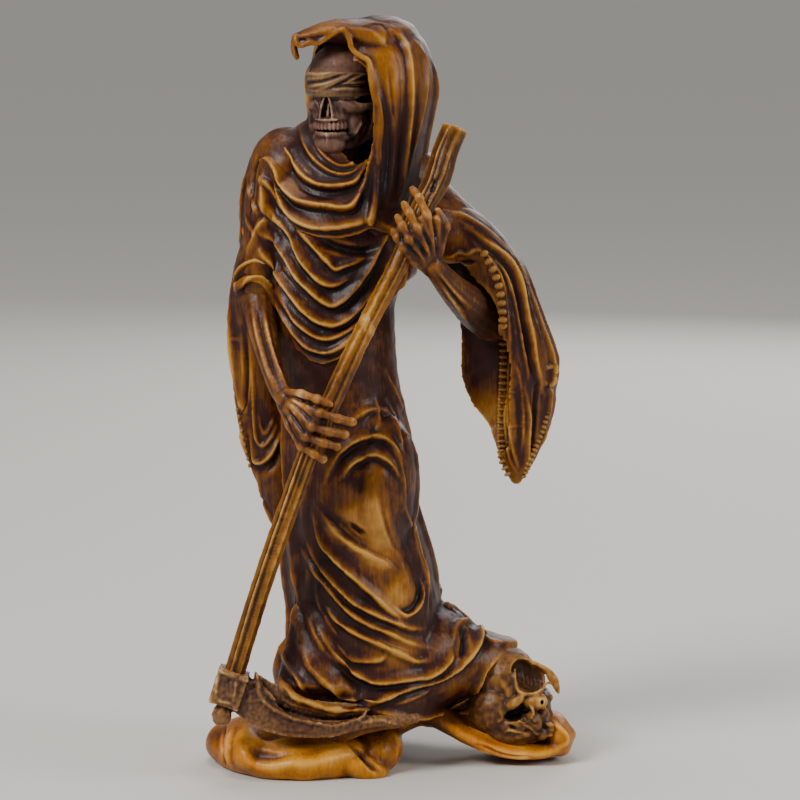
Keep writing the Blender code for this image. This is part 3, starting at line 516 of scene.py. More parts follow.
carve(tunic, [
    ([(-17.4, 76), (-14.6, 82), (-12.1, 84.9), (-9.3, 87), (-5.9, 88.2), (-3.2, 88.2), (-0.6, 87.2),
      (2.2, 84), (4, 79.4)], 1.5, 3.2, 1.0),
    ([(-12.6, 77.6), (-10, 81), (-5.9, 83), (-2.9, 83), (0.2, 80.9), (3, 77)], 1.6, 2.6, 0.9),
    ([(-20.6, 92), (-16, 93.4), (-11, 92.6), (-5, 95.6), (-1, 95), (2.4, 91)], 0.8, 3, 1.2),
    ([(-1.5, 107), (1.6, 100.2), (3.9, 93.6), (4.4, 88)], 0.9, 0.9, 2.2),
    ([(-0.8, 99.5), (1.6, 93), (2.9, 88.1), (3.9, 82.3)], 0.8, 0.9, 2),
    ([(-0.5, 89.5), (1.6, 84.7), (3.3, 79.9), (3.9, 75.4), (4.6, 66.8)], 0.9, 0.9, 2.4),
    ([(-4.5, 80.3), (-3.9, 74.8), (-3, 68.8), (-1.6, 63.3), (1, 58.2), (3.1, 52.6), (4.8, 47.5),
      (5.6, 44.1)], 1.4, 3.4, 5.4, 1.0),
    ([(-2.4, 72.4), (-1.6, 66.3), (-0.3, 61.6), (1.6, 57)], -0.6, 0.8, 0.8, 1),
    ([(8, 50.6), (8.4, 45.6), (6.9, 41.9), (4.3, 40.4), (1.8, 41.9)], 1.5, 2.2, 0.9),
    ([(3, 73), (4.8, 67), (7, 60), (9, 52.8), (9.9, 46), (10, 40)], 1.0, 1.0, 2.4),
    ([(-18.6, 68.6), (-16.3, 65.6), (-13.8, 62.4), (-9.6, 59), (-5.4, 56.5), (-1.1, 54.3), (2, 51.4)], 1.4,
      1.2, 3.2),
    ([(-11, 65), (-8.7, 63.5), (-6.6, 62)], -1.7, 1.0, 1.0, 1),
    ([(-16, 67.2), (-12.9, 65.2), (-9.6, 62.2), (-5.8, 58.6)], -0.8, 1.8, 1.2, 0.7),
    ([(-20.8, 68), (-18.8, 60.3), (-15.1, 55.4), (-11.3, 51.6), (-5.4, 46.2), (-0.3, 41.3), (3.4, 38.8)],
      1.6, 3, 1.1),
    ([(-23, 62), (-20.5, 56.1), (-17.2, 51.4), (-13, 46.5), (-9.2, 43), (-3.6, 40), (1.1, 38), (5.4, 36.4),
      (9, 36.4)], 1.5, 2.4, 1.1),
    ([(-24, 59), (-21.5, 54.3), (-19.3, 51.1), (-16.1, 47.2), (-13.4, 43.6), (-9.7, 40), (-5.4, 37.4),
      (0, 35), (4.8, 32.7), (9.6, 31.3)], 1.9, 2.4, 1.2),
    ([(-17.6, 43.6), (-15, 39.8), (-11.8, 37.1), (-7.5, 34.4), (-2.7, 32.2), (2.2, 29.7), (6.5, 27.7),
      (10.4, 27.7)], 2.1, 1.7, 1.5),
    ([(-15, 33.4), (-12.4, 29.4), (-8.6, 27.4), (-3.2, 27.7), (-1, 29)], 1.2, 3.2, 0.9),
    ([(-20.6, 39), (-17.2, 32.4), (-14, 28), (-9.7, 24.4), (-4.8, 21.8), (0, 21.7), (5.4, 22.5),
      (10.2, 23.3), (14, 25.3), (16.4, 28), (16.8, 30)], 2.1, 3.4, 1.3),
    ([(-25.2, 33.6), (-21.5, 26.2), (-17.2, 21.4), (-12.4, 17.8), (-5.9, 16), (-1.1, 17.3), (4.3, 19.6),
      (9.7, 21.2), (14, 22.5), (18.8, 25.8), (22.6, 29.7), (24.5, 33.5), (24.2, 36.8), (22.4, 38.7),
      (19.3, 38.7), (17.4, 36.8), (17, 32.4)], 1.9, 3, 1.2),
    ([(0, 15.4), (5.4, 17.1), (9.2, 18.7), (11.4, 20.3)], 0.9, 1, 1),
    ([(-5.4, 14.3), (0, 12.9), (5.4, 11.8), (10.8, 12.3), (16.7, 14.6), (21.6, 17.6), (24.2, 22),
      (25.8, 25.3), (29.1, 28.6), (32.8, 31.3)], 1.6, 2.6, 1.0),
    ([(19.4, 37.3), (20.2, 32.4), (19.4, 28)], -1.9, 1.6, 1.6, 1),
    ([(24, 37), (27, 33.4), (30.6, 32.6)], 0.9, 1.6, 1.6),
    ([(-21.5, 57), (-22, 48.8), (-21, 41.1), (-19.4, 35.7)], 0.7, 2.6, 2.2, 0.8),
    ([(-24.7, 56), (-25, 44.4), (-24.2, 37.3), (-23.6, 31.8)], 0.7, 2, 2, 0.8),
    ([(-27.2, 33.5), (-28.5, 30.8), (-27.4, 26.9), (-24.8, 22.5), (-21.6, 18.2)], 1.2, 1.4, 1.6),
    ([(-30.7, 21.4), (-28, 19.8), (-25.9, 17.5), (-22.6, 16.2), (-19.4, 15.1), (-16.2, 14.2),
      (-12.4, 13.9), (-8.6, 14.2), (-6, 14.6)], 1.2, 2.6, 0.9),
    ([(-21, 86), (-22, 76), (-23.6, 64)], 0.8, 2.2, 2.8, 0.8),
    ([(-3.8, 99), (-3, 93.4), (-3.4, 89)], 0.9, 2.2, 3),
    ([(-19.6, 49), (-18.6, 43), (-15.6, 37), (-12.6, 33.6)], 0.8, 1.2, 2),
    ([(-22.6, 44), (-20.8, 37), (-18, 31.4), (-13.6, 26)], 0.9, 1.0, 2.2),
    ([(-23.4, 28), (-19.4, 22.6), (-14.4, 18.8)], 0.8, 1.8, 1.0),
])
carve(tunic, [
    ([(-12, 112), (-14, 92), (-17, 66), (-22, 40), (-26, 12)], 2.2, 4, 2.4, 1.2),
    ([(-18, 104), (-22, 78), (-27, 52), (-31, 30)], 1.8, 3.4, 2.2, 1.2),
    ([(-6, 104), (-6.6, 80), (-8, 54), (-11, 30), (-13, 12)], 2.0, 2.4, 4, 1.2),
    ([(-2, 94), (-1, 70), (0, 44), (-1, 22)], 1.6, 3.4, 2.2, 1.2),
    ([(0, 108), (2, 84), (6, 58), (12, 34), (14, 16)], 2.2, 2.6, 4.4, 1.2),
    ([(3, 66), (10, 50), (18, 38), (26, 32)], 1.6, 3, 1.6, 1.2),
    ([(8, 46), (15, 32), (22, 24), (30, 22)], 1.4, 3, 1.4, 1.2),
    ([(-26, 66), (-30, 44), (-32, 22)], 1.2, 3, 2),
    ([(-3, 40), (2, 28), (5, 14)], 1.2, 2, 3),
    ([(-19, 44), (-18, 28), (-19, 12)], 1.2, 2, 3),
], BACK_EYE)
carve(tunic, [
    ([(-8, 100), (-9, 78), (-12, 52), (-15, 24)], 1.8, 3.6, 2.2, 1.2),
    ([(2, 92), (1, 66), (-2, 38), (-2, 14)], 1.8, 3, 3.6, 1.2),
], LEFT_EYE)
carve(tunic, [
    ([(-8, 98), (-9, 78), (-10, 60), (-8, 46)], 1.4, 3, 2.2, 1.2),
    ([(1, 104), (3, 80), (5, 58), (4, 42)], 1.7, 2.4, 3.6, 1.2),
    ([(12, 96), (15, 72), (18, 50), (20, 36)], 1.6, 3, 2.2, 1.2),
], RIGHT_EYE)
tool_marks(tunic, 4.0, 0.3, 1.0)
tool_marks(tunic, 1.3, 0.07, 4.0)
# Spots with a minus darken as painted shade.
finish(tunic, "tunic", robe_finish, [((-6, -22, 71), 6, 2.2), ((-2, -22, 60), 6, 2.4),
    ((3, -21, 48), 6, 2.2), ((-6, -24, 83), 4, 1.2), ((3, -20, 34), 7, 1.3), ((-14, -20, 66), 4, 0.8),
    ((-3, -20, 96), 5, 1.0), ((-2, -22, 85), 5, 0.6), ((15, -8, 29), 8, 0.7), ((-6, -22, 36), 8, 0.4),
    ((-24, -12, 60), 16, -0.2), ((6, -14, 70), 6, -0.5), ((-12, -22, 79), 4, -0.3),
    ((-15, -18, 108), 9, -0.5)], keep=0.55)

# Mantle: the short over-robe on chest, shoulders and upper arm, ending in a pointed hem over the
# belly. Its nested folds hang from the left shoulder in a V, each a thin crest over a scooped valley.
mantle = fuse([
    loft([(-12, 2, 166, 13.5, 13), (-12, 2, 159, 19.5, 16.5), (-12.5, 2, 149, 22.5, 18.6),
      (-13, 1, 136, 20.4, 19.6), (-15.2, 1, 125, 18.4, 19.4), (-14.8, 1, 112, 17.6, 19.2),
      (-14, 1, 104, 17.2, 19.2)]),
    ball((-27, 2, 159), (10.5, 12.5, 12)),
    loft([(-28, 2, 160, 9.5, 11.5), (-31, 1, 151, 7.8, 11), (-32, 0, 143, 6.9, 10),
      (-33, -1, 135, 7.2, 9.5), (-34.5, -1, 129, 6.6, 8.5)]),
    ball((4, 6, 155), (10, 11, 12)),
    loft([(4, 7, 153, 9, 10), (12, 6, 148, 8, 9.5), (20, 5, 140, 8, 9.5)]),
], 0.5, 8)
cut(mantle, prism([(-60, 90), (-60, 126), (-36, 125.6), (-31.4, 126), (-28.8, 121.6), (-24.4, 113.4),
    (-20.6, 110.6), (-17.3, 109.8), (-13.4, 111.2), (-9, 115), (-3, 122.5), (2, 129), (8, 133), (30, 137),
    (60, 137), (60, 90)], -40, 40))
cut(mantle, ball((-9, -10, 166), (7, 9, 6)))
mantle = fuse([mantle], 0.42, 3)
carve(mantle, [
    ([(-19, 141.4), (-15.5, 139.6), (-11, 138.4), (-6.3, 138), (-2, 140)], -1.6, 1.6, 1.6, 0.8),
    ([(-25.2, 144), (-23.4, 142.6), (-20, 138.8), (-17, 135.6), (-14.6, 133.2), (-12.2, 133.8),
      (-8.5, 135.2), (-4.6, 137.4)], 1.6, 2.6, 1.1),
    ([(-33, 149.6), (-31.4, 148.4), (-29.6, 146.5), (-27.5, 143.9), (-25.8, 141.1), (-24.8, 138),
      (-22.7, 134.2), (-20, 131.1), (-17.3, 129.2), (-14.5, 128.9), (-12.1, 130), (-8, 133)], 1.8, 3.2,
      1.2),
    ([(-34.6, 143), (-33, 142), (-31, 140.8), (-28.9, 138.6), (-26.9, 135.3), (-24.8, 131.4),
      (-22.1, 128.2), (-19, 125.4), (-15.9, 123.5), (-13.1, 124.4), (-9.6, 127.6), (-6.3, 132),
      (-3.5, 137), (-0.8, 142.4), (1.9, 148.4), (4.6, 155)], 2.1, 3.6, 1.3),
    ([(-34.8, 138), (-33, 136), (-31, 133.5), (-28.2, 129.2), (-25.6, 125.6), (-22.8, 122), (-19.6, 119.4),
      (-16, 118.2), (-13.1, 118.8), (-9.5, 121.4), (-6.7, 124.8), (-3, 129), (1, 134.4)], 2.0, 2.8, 1.2),
    ([(-30, 127.6), (-27.6, 123), (-24.6, 119), (-21, 116), (-18.1, 114.8), (-15.3, 114.9), (-11, 117),
      (-7.4, 120.6), (-3, 125.6)], 1.6, 1.8, 1.1),
    ([(-31, 125.2), (-28.4, 120.6), (-25, 115.6), (-21.6, 112.2), (-17.4, 110.9), (-13.8, 112),
      (-10.3, 115), (-5, 121), (0, 127.4)], 1.8, 2.2, 1.0),
    ([(-29.6, 132.4), (-27, 128.6), (-24.4, 126.2)], 0.8, 1.2, 1.2),
    ([(-34.6, 157.4), (-32.3, 155.7), (-30.3, 152.6), (-28.6, 149.8), (-26.9, 147.4)], 1.3, 1.8, 1.0),
    ([(-34.3, 164), (-35.8, 159.4), (-36.6, 153.8), (-36.9, 147)], -1.0, 1.2, 1.2, 1),
    ([(-36.6, 164), (-38.2, 158), (-38.8, 150), (-38.6, 142)], 0.8, 1.6, 1.6),
    ([(-31.6, 146.4), (-28.8, 142), (-27, 137.6), (-24.6, 133.6)], 0.5, 0.9, 0.9),
    ([(-30.4, 137.6), (-27.4, 132.4), (-24, 128), (-20.4, 124.6)], 0.5, 0.8, 0.8),
    ([(-20.4, 134.4), (-17, 132), (-14.4, 131.4), (-11, 133)], 0.5, 0.8, 0.8),
    ([(-19.6, 127), (-16, 125.8), (-13, 126.8), (-9, 131)], 0.5, 0.8, 0.8),
    ([(-37.6, 156), (-36.4, 151), (-34.6, 147.6)], 0.9, 1.2, 1.6),
    ([(-38.4, 148), (-37, 144.6), (-35, 142.4)], 0.8, 1.0, 1.4),
])
carve(mantle, [
    ([(-36, 158), (-30, 149), (-22, 142), (-12, 139), (-2, 143), (6, 152)], 1.2, 1.4, 3.4),
    ([(-36, 148), (-30, 138), (-22, 131), (-12, 128), (-2, 132), (8, 142)], 1.3, 1.4, 4),
    ([(-32, 134), (-26, 125), (-19, 119), (-12, 117), (-4, 121), (4, 130)], 1.2, 1.4, 3.6),
    ([(-30, 126), (-24, 117), (-18, 112), (-12, 110.6), (-5, 114), (2, 122)], 1.0, 1.2, 2.4),
    ([(2, 154), (10, 148), (19, 143)], 1.2, 2.4, 1.6),
    ([(1, 146), (9, 140), (18, 136)], 1.2, 2.4, 1.6),
], BACK_EYE)
carve(mantle, [
    ([(-8, 162), (-10, 150), (-8, 138)], 1.4, 2.8, 2),
    ([(2, 163), (1, 150), (3, 136)], 1.5, 2, 3),
], LEFT_EYE)
carve(mantle, [([(-10, 136), (-8, 124)], 1.0, 2.4, 2), ([(2, 134), (4, 120)], 1.1, 2, 2.6)], RIGHT_EYE)
tool_marks(mantle, 3.4, 0.24, 6.0)
tool_marks(mantle, 1.3, 0.06, 8.0)
# Spots with a minus darken the middle of the chest as painted shade.
finish(mantle, "mantle", robe_finish, [((-33, -12, 147), 5, 0.5), ((-36, -6, 138), 6, 0.5),
    ((-24, -18, 128), 8, 0.3), ((-34, -12, 153), 4, 0.5), ((-13, -20, 122), 5, 0.4),
    ((-8, -18, 140), 7, -0.8), ((-8, -18, 128), 8, -0.4)], keep=0.62)

# Left sleeve: the upper arm's wide sleeve, pushed up at the elbow, its lower side hanging behind the
# bare forearm in nested points with a stitched back edge.
left_sleeve = fuse([
    loft([(-33, 0, 139, 6.6, 9.4), (-35, 0, 133, 6.4, 8.8), (-36.2, 1, 126, 6.2, 8.5),
      (-35.9, 3, 114, 6.5, 8), (-35, 3, 105, 6.5, 8), (-33.5, 3, 95, 6.7, 7.5), (-31.6, 2, 86, 7.2, 7),
      (-30.6, 1, 80, 6.2, 6.2), (-29.8, 0, 75, 5, 5), (-29.6, -1, 69, 3.4, 3.6), (-29.8, -1, 65, 2, 2.6)]),
    tube([(-40.4, -5.5, 128.4, 1.2), (-39, -8.4, 130.4, 1.3), (-36.6, -9.8, 131.4, 1.4),
      (-33.6, -10, 130.6, 1.4), (-31.4, -8.8, 127.6, 1.2), (-30.4, -7.4, 123, 0.9)]),
], 0.42, 6)
cut(left_sleeve, loft([(-36, -10, 128.6, 3, 3), (-35.2, -9.6, 124, 4.2, 4.4),
    (-34.4, -10.4, 117, 4.4, 4.4), (-32.6, -12, 108, 4, 4)]))
left_sleeve = fuse([left_sleeve], 0.4, 2)
carve(left_sleeve, [
    ([(-41.2, 128), (-40.6, 131), (-38.8, 134), (-35.1, 135.6), (-31.6, 133.4), (-29.5, 128.4),
      (-28.4, 122.4)], 1.8, 1.6, 1.1),
    ([(-40, 127.6), (-37.6, 130.7), (-34.1, 131), (-31.2, 128.2), (-29.7, 123.4)], 1.0, 0.9, 0.9),
    ([(-42, 122), (-41.6, 112), (-40.6, 100), (-39.6, 92.6), (-38.6, 87.5), (-37.4, 80.6)], 1.2, 2.2, 1.4),
    ([(-38.6, 118), (-38.4, 106.3), (-38.7, 99.5), (-39.2, 93.6)], -1.6, 1.2, 1.2, 1),
    ([(-36.8, 108), (-36.5, 99.5), (-36.2, 93), (-35.6, 87.9), (-33.9, 86), (-31.7, 88.1), (-30.2, 91.8)],
      1.1, 1.4, 1.0),
    ([(-35, 95), (-34.5, 91.4), (-33.2, 89.4), (-31.7, 91.8), (-31, 94.4)], 0.7, 0.8, 0.8),
    ([(-37.6, 90), (-36.3, 82.5), (-34.6, 81.3), (-32.9, 82.2), (-31.2, 84.2), (-29.8, 87), (-28, 91)],
      1.5, 2.2, 1.0),
    ([(-33.4, 78.7), (-31.2, 81), (-29.8, 84.7), (-29, 88)], -1.0, 0.9, 0.9, 1),
    ([(-35.6, 80), (-33.9, 72), (-31.9, 66.8), (-31, 64.7)], 1, 1.2, 1.6),
])
carve(left_sleeve, [
    ([(-39, 134), (-39, 110), (-35, 84), (-30, 68)], 1.4, 2.8, 1.6),
    ([(-33, 134), (-34, 112), (-32, 90)], 1.3, 2, 2.8),
], BACK_EYE)
carve(left_sleeve, [
    ([(-2, 132), (-1, 106), (-1, 74)], 1.3, 2.8, 1.8),
    ([(6, 132), (7, 108), (4, 84)], 1.3, 2, 2.6),
], LEFT_EYE)
tool_marks(left_sleeve, 2.4, 0.12)
# The last list is painted shade inside the sleeve's mouth at the elbow.
finish(left_sleeve, "left_sleeve", robe_finish, [((-41, -2, 106), 8, 0.5), ((-34, -6, 86), 9, 0.15),
    ((-36, -8, 134), 5, 0.5)], [((-34.6, -10, 122), 8, 1.4)])

# Right sleeve: a great bell that falls open under the raised arm, hollowed from the mouth, with a
# rolled and whipped rim and one torn edge at its outer corner.
right_sleeve = fuse([loft([(13, 5, 146.5, 5.5, 9), (19.6, 4, 141, 8.4, 11), (24.4, 3, 131.7, 11.1, 12),
    (27.1, 3, 123.7, 11.3, 12), (29, 3, 116.4, 12.2, 12), (30.7, 3, 108.4, 13.6, 11),
    (31.3, 3, 104.5, 13.4, 10.5), (32.3, 3, 99.7, 12, 9.5), (33.9, 3, 93.3, 9.2, 8),
    (34.2, 2, 85.6, 6.2, 5.8), (33.8, 1, 80, 3.6, 4.2), (33.7, 1, 76.8, 1.6, 2.6)])], 0.55, 4)
cut(right_sleeve, loft([(17.5, -1, 131, 6.5, 9), (19.6, -1.5, 124, 10.4, 10.8),
    (21.5, -1, 116.4, 11.6, 10.8), (23.2, -1, 108.4, 12, 9.8), (25, -0.5, 101, 9.6, 8.8),
    (27.2, 0, 93.3, 6.4, 6.8), (29, 0, 87, 3.6, 4.4)]))
cut(right_sleeve, ball((42.4, -4, 102.2), (1.3, 4, 1.9), (0, -10, 0)))
right_sleeve = fuse([right_sleeve], 0.4, 3)
carve(right_sleeve, [
    ([(x - 1.4, z) for x, z in ((31, 113.4), (30.9, 108.4), (30.7, 100.7), (30.4, 92.9), (30.4, 86.9),
      (31, 82.1), (32.4, 79))], 0.7, 0.5, 0.5, 1),
    ([(x + 1.3, z) for x, z in ((30.2, 113.4), (30.3, 108.4), (30.1, 100.7), (29.8, 92.9), (29.9, 86.9),
      (30.8, 82.1), (32.4, 79))], 0.7, 0.5, 0.5, 1),
    ([(14.8, 149), (19.6, 147.4), (25.4, 143.8), (30, 139.6), (33, 135.8)], 0.9, 1.6, 2),
    ([(20.5, 144.3), (25.6, 140.2), (29.3, 137.2), (32.4, 133.5), (34.1, 129.4), (35, 125), (35.9, 120.5),
      (37.1, 116), (38, 111), (39.4, 105), (40.4, 100.6)], 2.3, 3.6, 1.3),
    ([(23.2, 140.4), (27.3, 136), (30, 132.4), (31, 128.4), (31.7, 123.3), (32.3, 118.1), (33, 113)], -0.7,
      0.9, 0.9, 1),
    ([(26.6, 137.2), (29.6, 134.1), (31.6, 130.1), (33, 125.6), (34.2, 120), (35.2, 114), (36.4, 108),
      (37, 104)], 1.2, 1.4, 1.0),
    ([(21.8, 141.3), (23.9, 138.4), (26.3, 136.7), (28.6, 133.5), (30, 130.4), (30.9, 127.3),
      (31.5, 123.3), (31.9, 118.1), (32, 113), (31.8, 107.6)], 0.8, 0.8, 0.8),
    ([(32.2, 103.7), (31.6, 94.7), (32.7, 85.6), (34.5, 79.6)], 0.7, 0.9, 0.9),
    ([(35.7, 103), (37, 96), (37.5, 91.7), (36.9, 82.6), (35.1, 78.4)], 1.2, 1.2, 2.2),
    ([(33.8, 101), (34.4, 92), (34.6, 84)], -0.6, 1.2, 1.2, 1),
    ([(33, 109), (34.4, 105), (35.4, 98), (35.6, 90), (35, 84)], 0.7, 0.7, 0.7),
    ([(39.4, 104), (38.8, 97.7), (38.2, 88.7), (37.7, 82.6)], -1.4, 1.1, 1.1, 1),
    ([(41, 106.7), (43, 107), (44.6, 104.4), (42.8, 103.6), (40.6, 101.6)], 1.0, 0.9, 0.9),
    ([(44.8, 103), (43.8, 98), (42.6, 94), (41.2, 89.4), (39, 84)], 0.8, 1.2, 1.2),
    ([(14, 136.4), (16.6, 136.6), (18.4, 137.6), (20.6, 137.2), (22.6, 138.4), (24.4, 138)], 0.9, 0.8, 0.8),
    ([(14.4, 134.8), (17.1, 135), (20.5, 135.2), (22.8, 135.4)], -1.0, 0.8, 0.8, 1),
])
RIM = seen_on(right_sleeve, [(25, 137.4), (26.4, 134.9), (27.7, 132.3), (28.7, 129.6), (29.3, 126.8),
    (29.7, 123.8), (29.9, 121), (30, 118.2), (30, 115.4)])
RUNGS = seen_on(right_sleeve, [(30.2, 113.4), (30.3, 108.4), (30.1, 100.7), (29.8, 92.9), (29.7, 86.9),
    (30.2, 82.1), (31.7, 78.6), (33.9, 76.6)])
EDGE = seen_on(right_sleeve, [(35.6, 78), (37.4, 81.8), (38.8, 86), (40.9, 91.4), (42.1, 96.5),
    (43.4, 100.6)])
carve(right_sleeve, [
    ([(16, 146), (21, 126), (24, 106), (31, 84)], 1.8, 3, 2, 1.2),
    ([(21, 145), (27, 126), (30, 104), (33, 84)], 1.7, 2, 3.4, 1.2),
    ([(26, 143), (34, 124), (37, 104), (36, 86)], 1.8, 3.4, 2, 1.2),
    ([(32, 138), (40, 118), (41, 102)], 1.4, 2, 2.6, 1.2),
], BACK_EYE)
carve(right_sleeve, [
    ([(-2, 138), (-2, 112), (0, 84)], 1.5, 3, 1.8),
    ([(5, 140), (6, 112), (3, 84)], 1.5, 2, 3),
    ([(11, 136), (12, 112)], 1.2, 2, 2),
], RIGHT_EYE)
tool_marks(right_sleeve, 2.6, 0.12, 3.0)
# The spot with a minus is painted shade; the last list is painted shade inside the bell of the sleeve.
finish(right_sleeve, "right_sleeve", robe_finish,
    [((36, -6, 132), 6, 0.6), ((40, -6, 120), 7, 0.8), ((42, -6, 110), 6, 0.6), ((26, -6, 140), 7, 0.3),
    ((34, -6, 92), 6, 0.15), ((27, 5, 95), 8, 1.6), ((33, -8, 118), 5, -0.2)], [((20, -4, 118), 13, 1.5)],
    keep=0.8)

# Hood: a deep cowl, cut thin at its face edge, with a curled tip over the brow and long upright
# folds down its side; the scarf that ends it lies on the chest in slack swags with a rolled hem.
hood = fuse([loft([(-6.2, 3, 191.4, 14.8, 16.5), (-5.6, 3, 188.5, 16.2, 18), (-5, 3, 182.5, 17, 19.6),
    (-5.2, 3, 175.5, 16.1, 19.6), (-5.4, 2.6, 167.6, 14.8, 19), (-5, 1.4, 158, 13.2, 18.6),
    (-4.5, 0, 149, 12, 18), (-4, -2, 141, 9, 15)], cap=0.58)], 0.6, 4)
cut(hood, loft([(-13.6, -7, 190.6, 7, 8), (-14, -7, 189, 8.4, 9.4), (-14.5, -7.5, 186, 11, 12),
    (-14.5, -8, 180, 12.2, 13.6), (-14, -8, 171, 11.8, 14), (-14, -9, 162, 10.6, 13),
    (-14.5, -11, 156, 9, 11)]))
cut(hood, loft([(-27, -10, 187, 12, 12), (-27, -10, 181, 14, 17), (-26, -10, 168, 14, 17),
    (-26, -10, 150, 13, 16), (-26, -10, 138, 13, 16)], cap=0.3))
scarf = fuse([
    loft([(-13, 0, 171, 9.5, 10), (-13.4, 0.6, 166.4, 14.6, 14), (-13, 1.4, 160, 20, 17.6),
      (-12.6, 1.8, 153, 22.8, 20), (-12.6, 1.6, 147, 23.8, 21.2), (-12.8, 1, 139, 22, 20.6)]),
    ball((-26.6, 2, 158), (10.6, 12.8, 10.6)),
], 0.6, 6)
cut(scarf, prism([(-60, 120), (-60, 168), (-37, 166), (-33.6, 160.4), (-30, 153.4), (-26.8, 147),
    (-23.6, 144.4), (-19, 143.2), (-13, 142.9), (-8, 144), (-5, 145.4), (-1, 144), (4, 142), (10, 144),
    (60, 150), (60, 120)], -40, 40))
cut(scarf, loft([(-8, -5, 175, 7, 9), (-8.4, -6, 169, 7, 10), (-8.8, -8.6, 164.8, 5.6, 7.6),
    (-9, -10.4, 162, 3, 4.6)]))
hood = fuse([
    hood,
    scarf,
    loft([(-6, -3, 194.6, 11, 4.8), (-12, -6, 195.9, 9.4, 3.6), (-17, -8.5, 196.1, 7.4, 2.6),
      (-21, -10, 195.4, 5.4, 1.8), (-24, -11, 194.8, 3.4, 1.1)], across=(0, 1, 0)),
    loft([(-24.6, -11, 195.2, 2.6, 0.8), (-24.9, -10.8, 193, 2.9, 0.9), (-24.7, -10.4, 190.8, 2.4, 0.9),
      (-24.2, -10, 189.4, 1.2, 0.8)], (0, 1, 0)),
    tube([(-24.5, -13.2, 195.4, 0.6), (-24.3, -13.8, 193.9, 0.7), (-23.3, -14.2, 192.6, 0.75),
      (-21.6, -14.4, 193.2, 0.8), (-20.2, -14.5, 193.5, 0.8), (-18.8, -14.6, 193.3, 0.8),
      (-17, -14.7, 194.2, 0.8), (-14.8, -14.8, 195.6, 0.8), (-12.6, -14.8, 196.7, 0.85),
      (-11.3, -14.9, 195.9, 0.8), (-10.4, -15, 194.2, 0.8), (-10, -15.3, 192.3, 0.8),
      (-9.1, -15.5, 191.1, 0.8), (-7.2, -15.6, 189.8, 0.85), (-5.6, -15.7, 188.8, 0.9),
      (-5, -15.9, 186.8, 0.9), (-4.7, -16, 183.6, 0.95), (-4, -16, 180.1, 1.0), (-2.8, -16, 176.9, 1.05),
      (-2.5, -16, 173, 1.1), (-2.8, -16.2, 168, 1.1), (-3.1, -16.6, 163.2, 1.1), (-3.6, -17.2, 157, 1.1),
      (-4.1, -18.2, 151, 1.1), (-5, -19.4, 147, 1.0)]),
], 0.43, 3)
carve(hood, [
    ([(-28.9, 169), (-26.7, 165.8), (-24.7, 162.4), (-22, 159.3), (-19, 157.4)], 1.0, 1.8, 0.9),
    ([(1, 195.8), (2.4, 194.6), (4.2, 191.6), (5.1, 188), (5.5, 183), (5.4, 176.4), (4.7, 170), (4, 164),
      (3.4, 158), (2, 150)], 1.4, 3.0, 1.4),
    ([(0.4, 193), (2.2, 189.4), (3.1, 184.6), (3.1, 178), (2.7, 171), (2.2, 164)], -0.5, 0.8, 0.8, 1),
    ([(-2.6, 186), (-1.4, 179.4), (-0.4, 173), (0, 166), (-0.6, 158), (-1.6, 150)], -0.8, 1.6, 1.4, 0.8),
    ([(-0.4, 186), (0.6, 179), (1.2, 172)], -0.5, 0.8, 0.8, 1),
    ([(6.8, 193.4), (9.2, 189.6), (9.8, 184), (9, 177), (7.4, 170), (5.5, 162), (4.2, 155.2)], 0.9, 1.6,
      2.8),
    ([(7.6, 184), (7.4, 176), (6.2, 167), (4.9, 160)], -0.7, 1.4, 1.4, 1),
    ([(-8, 197.4), (-3.6, 198.2), (1.6, 197)], 0.5, 1.2, 1.2),
    ([(-11, 197), (-4, 195.4), (0, 191)], 0.5, 2, 2.4),
    ([(-30, 167.7), (-33.4, 165.4), (-36.1, 161.5), (-38, 156.9)], 0.9, 1.0, 1.6),
    ([(-22.4, 169.6), (-21, 166), (-18, 162.6), (-14, 161.2)], 0.5, 0.6, 0.6),
    ([(-27.4, 167), (-25, 163.6), (-22.4, 161.2)], 0.5, 0.7, 0.7),
    ([(-27.8, 157), (-24.8, 154.2), (-20.6, 152.8), (-14, 152.4), (-9.4, 153.6)], 0.5, 0.8, 0.8),
    ([(-20.4, 168.4), (-18.7, 164.8), (-15.9, 162), (-13, 160.6), (-9.5, 161.2), (-6.4, 163.6)], 1.1, 1.4,
      0.8),
    ([(-23.8, 171), (-22.8, 166.9), (-20.4, 162.8), (-16.8, 159.6), (-13, 158.2), (-9.5, 159),
      (-6.2, 161.8)], 1.4, 1.8, 1.0),
    ([(-31.4, 167.8), (-29, 166.4), (-27.3, 163.8), (-25.3, 161.1), (-23.2, 158), (-20.5, 156.1),
      (-17.8, 155.2), (-14.4, 155), (-9.6, 156), (-7.2, 159), (-4.6, 163.4)], 2.0, 2.8, 1.1),
    ([(-30.2, 164.3), (-27.6, 160.9), (-24.9, 157), (-21.9, 154), (-17.6, 152.6), (-12, 152.8)], -0.9, 1.1,
      1.1, 1),
    ([(-34.6, 162.2), (-32.5, 162.2), (-30.5, 159.5), (-29.2, 156.3), (-27, 153.3), (-24.6, 151.2),
      (-21.2, 150.2), (-17.1, 149.7), (-13.1, 149.2), (-10.1, 149.8), (-8.4, 152.2), (-6.8, 155.8),
      (-5.6, 159.6)], 2.3, 3.6, 1.2),
    ([(-32.4, 160.6), (-31, 157.6), (-29.9, 153.5), (-27.9, 149), (-25.4, 146.4), (-22.7, 144.9),
      (-19.3, 144), (-14.5, 144), (-11.1, 144.6), (-7.7, 145.4), (-5.6, 146.4)], 1.9, 2.8, 0.9),
    ([(-3.4, 146), (2, 143.6), (7, 145.6), (10, 150)], 1, 2, 2),
    ([(0, 141), (3.4, 148), (6.6, 157)], 0.8, 1.6, 1.6),
])
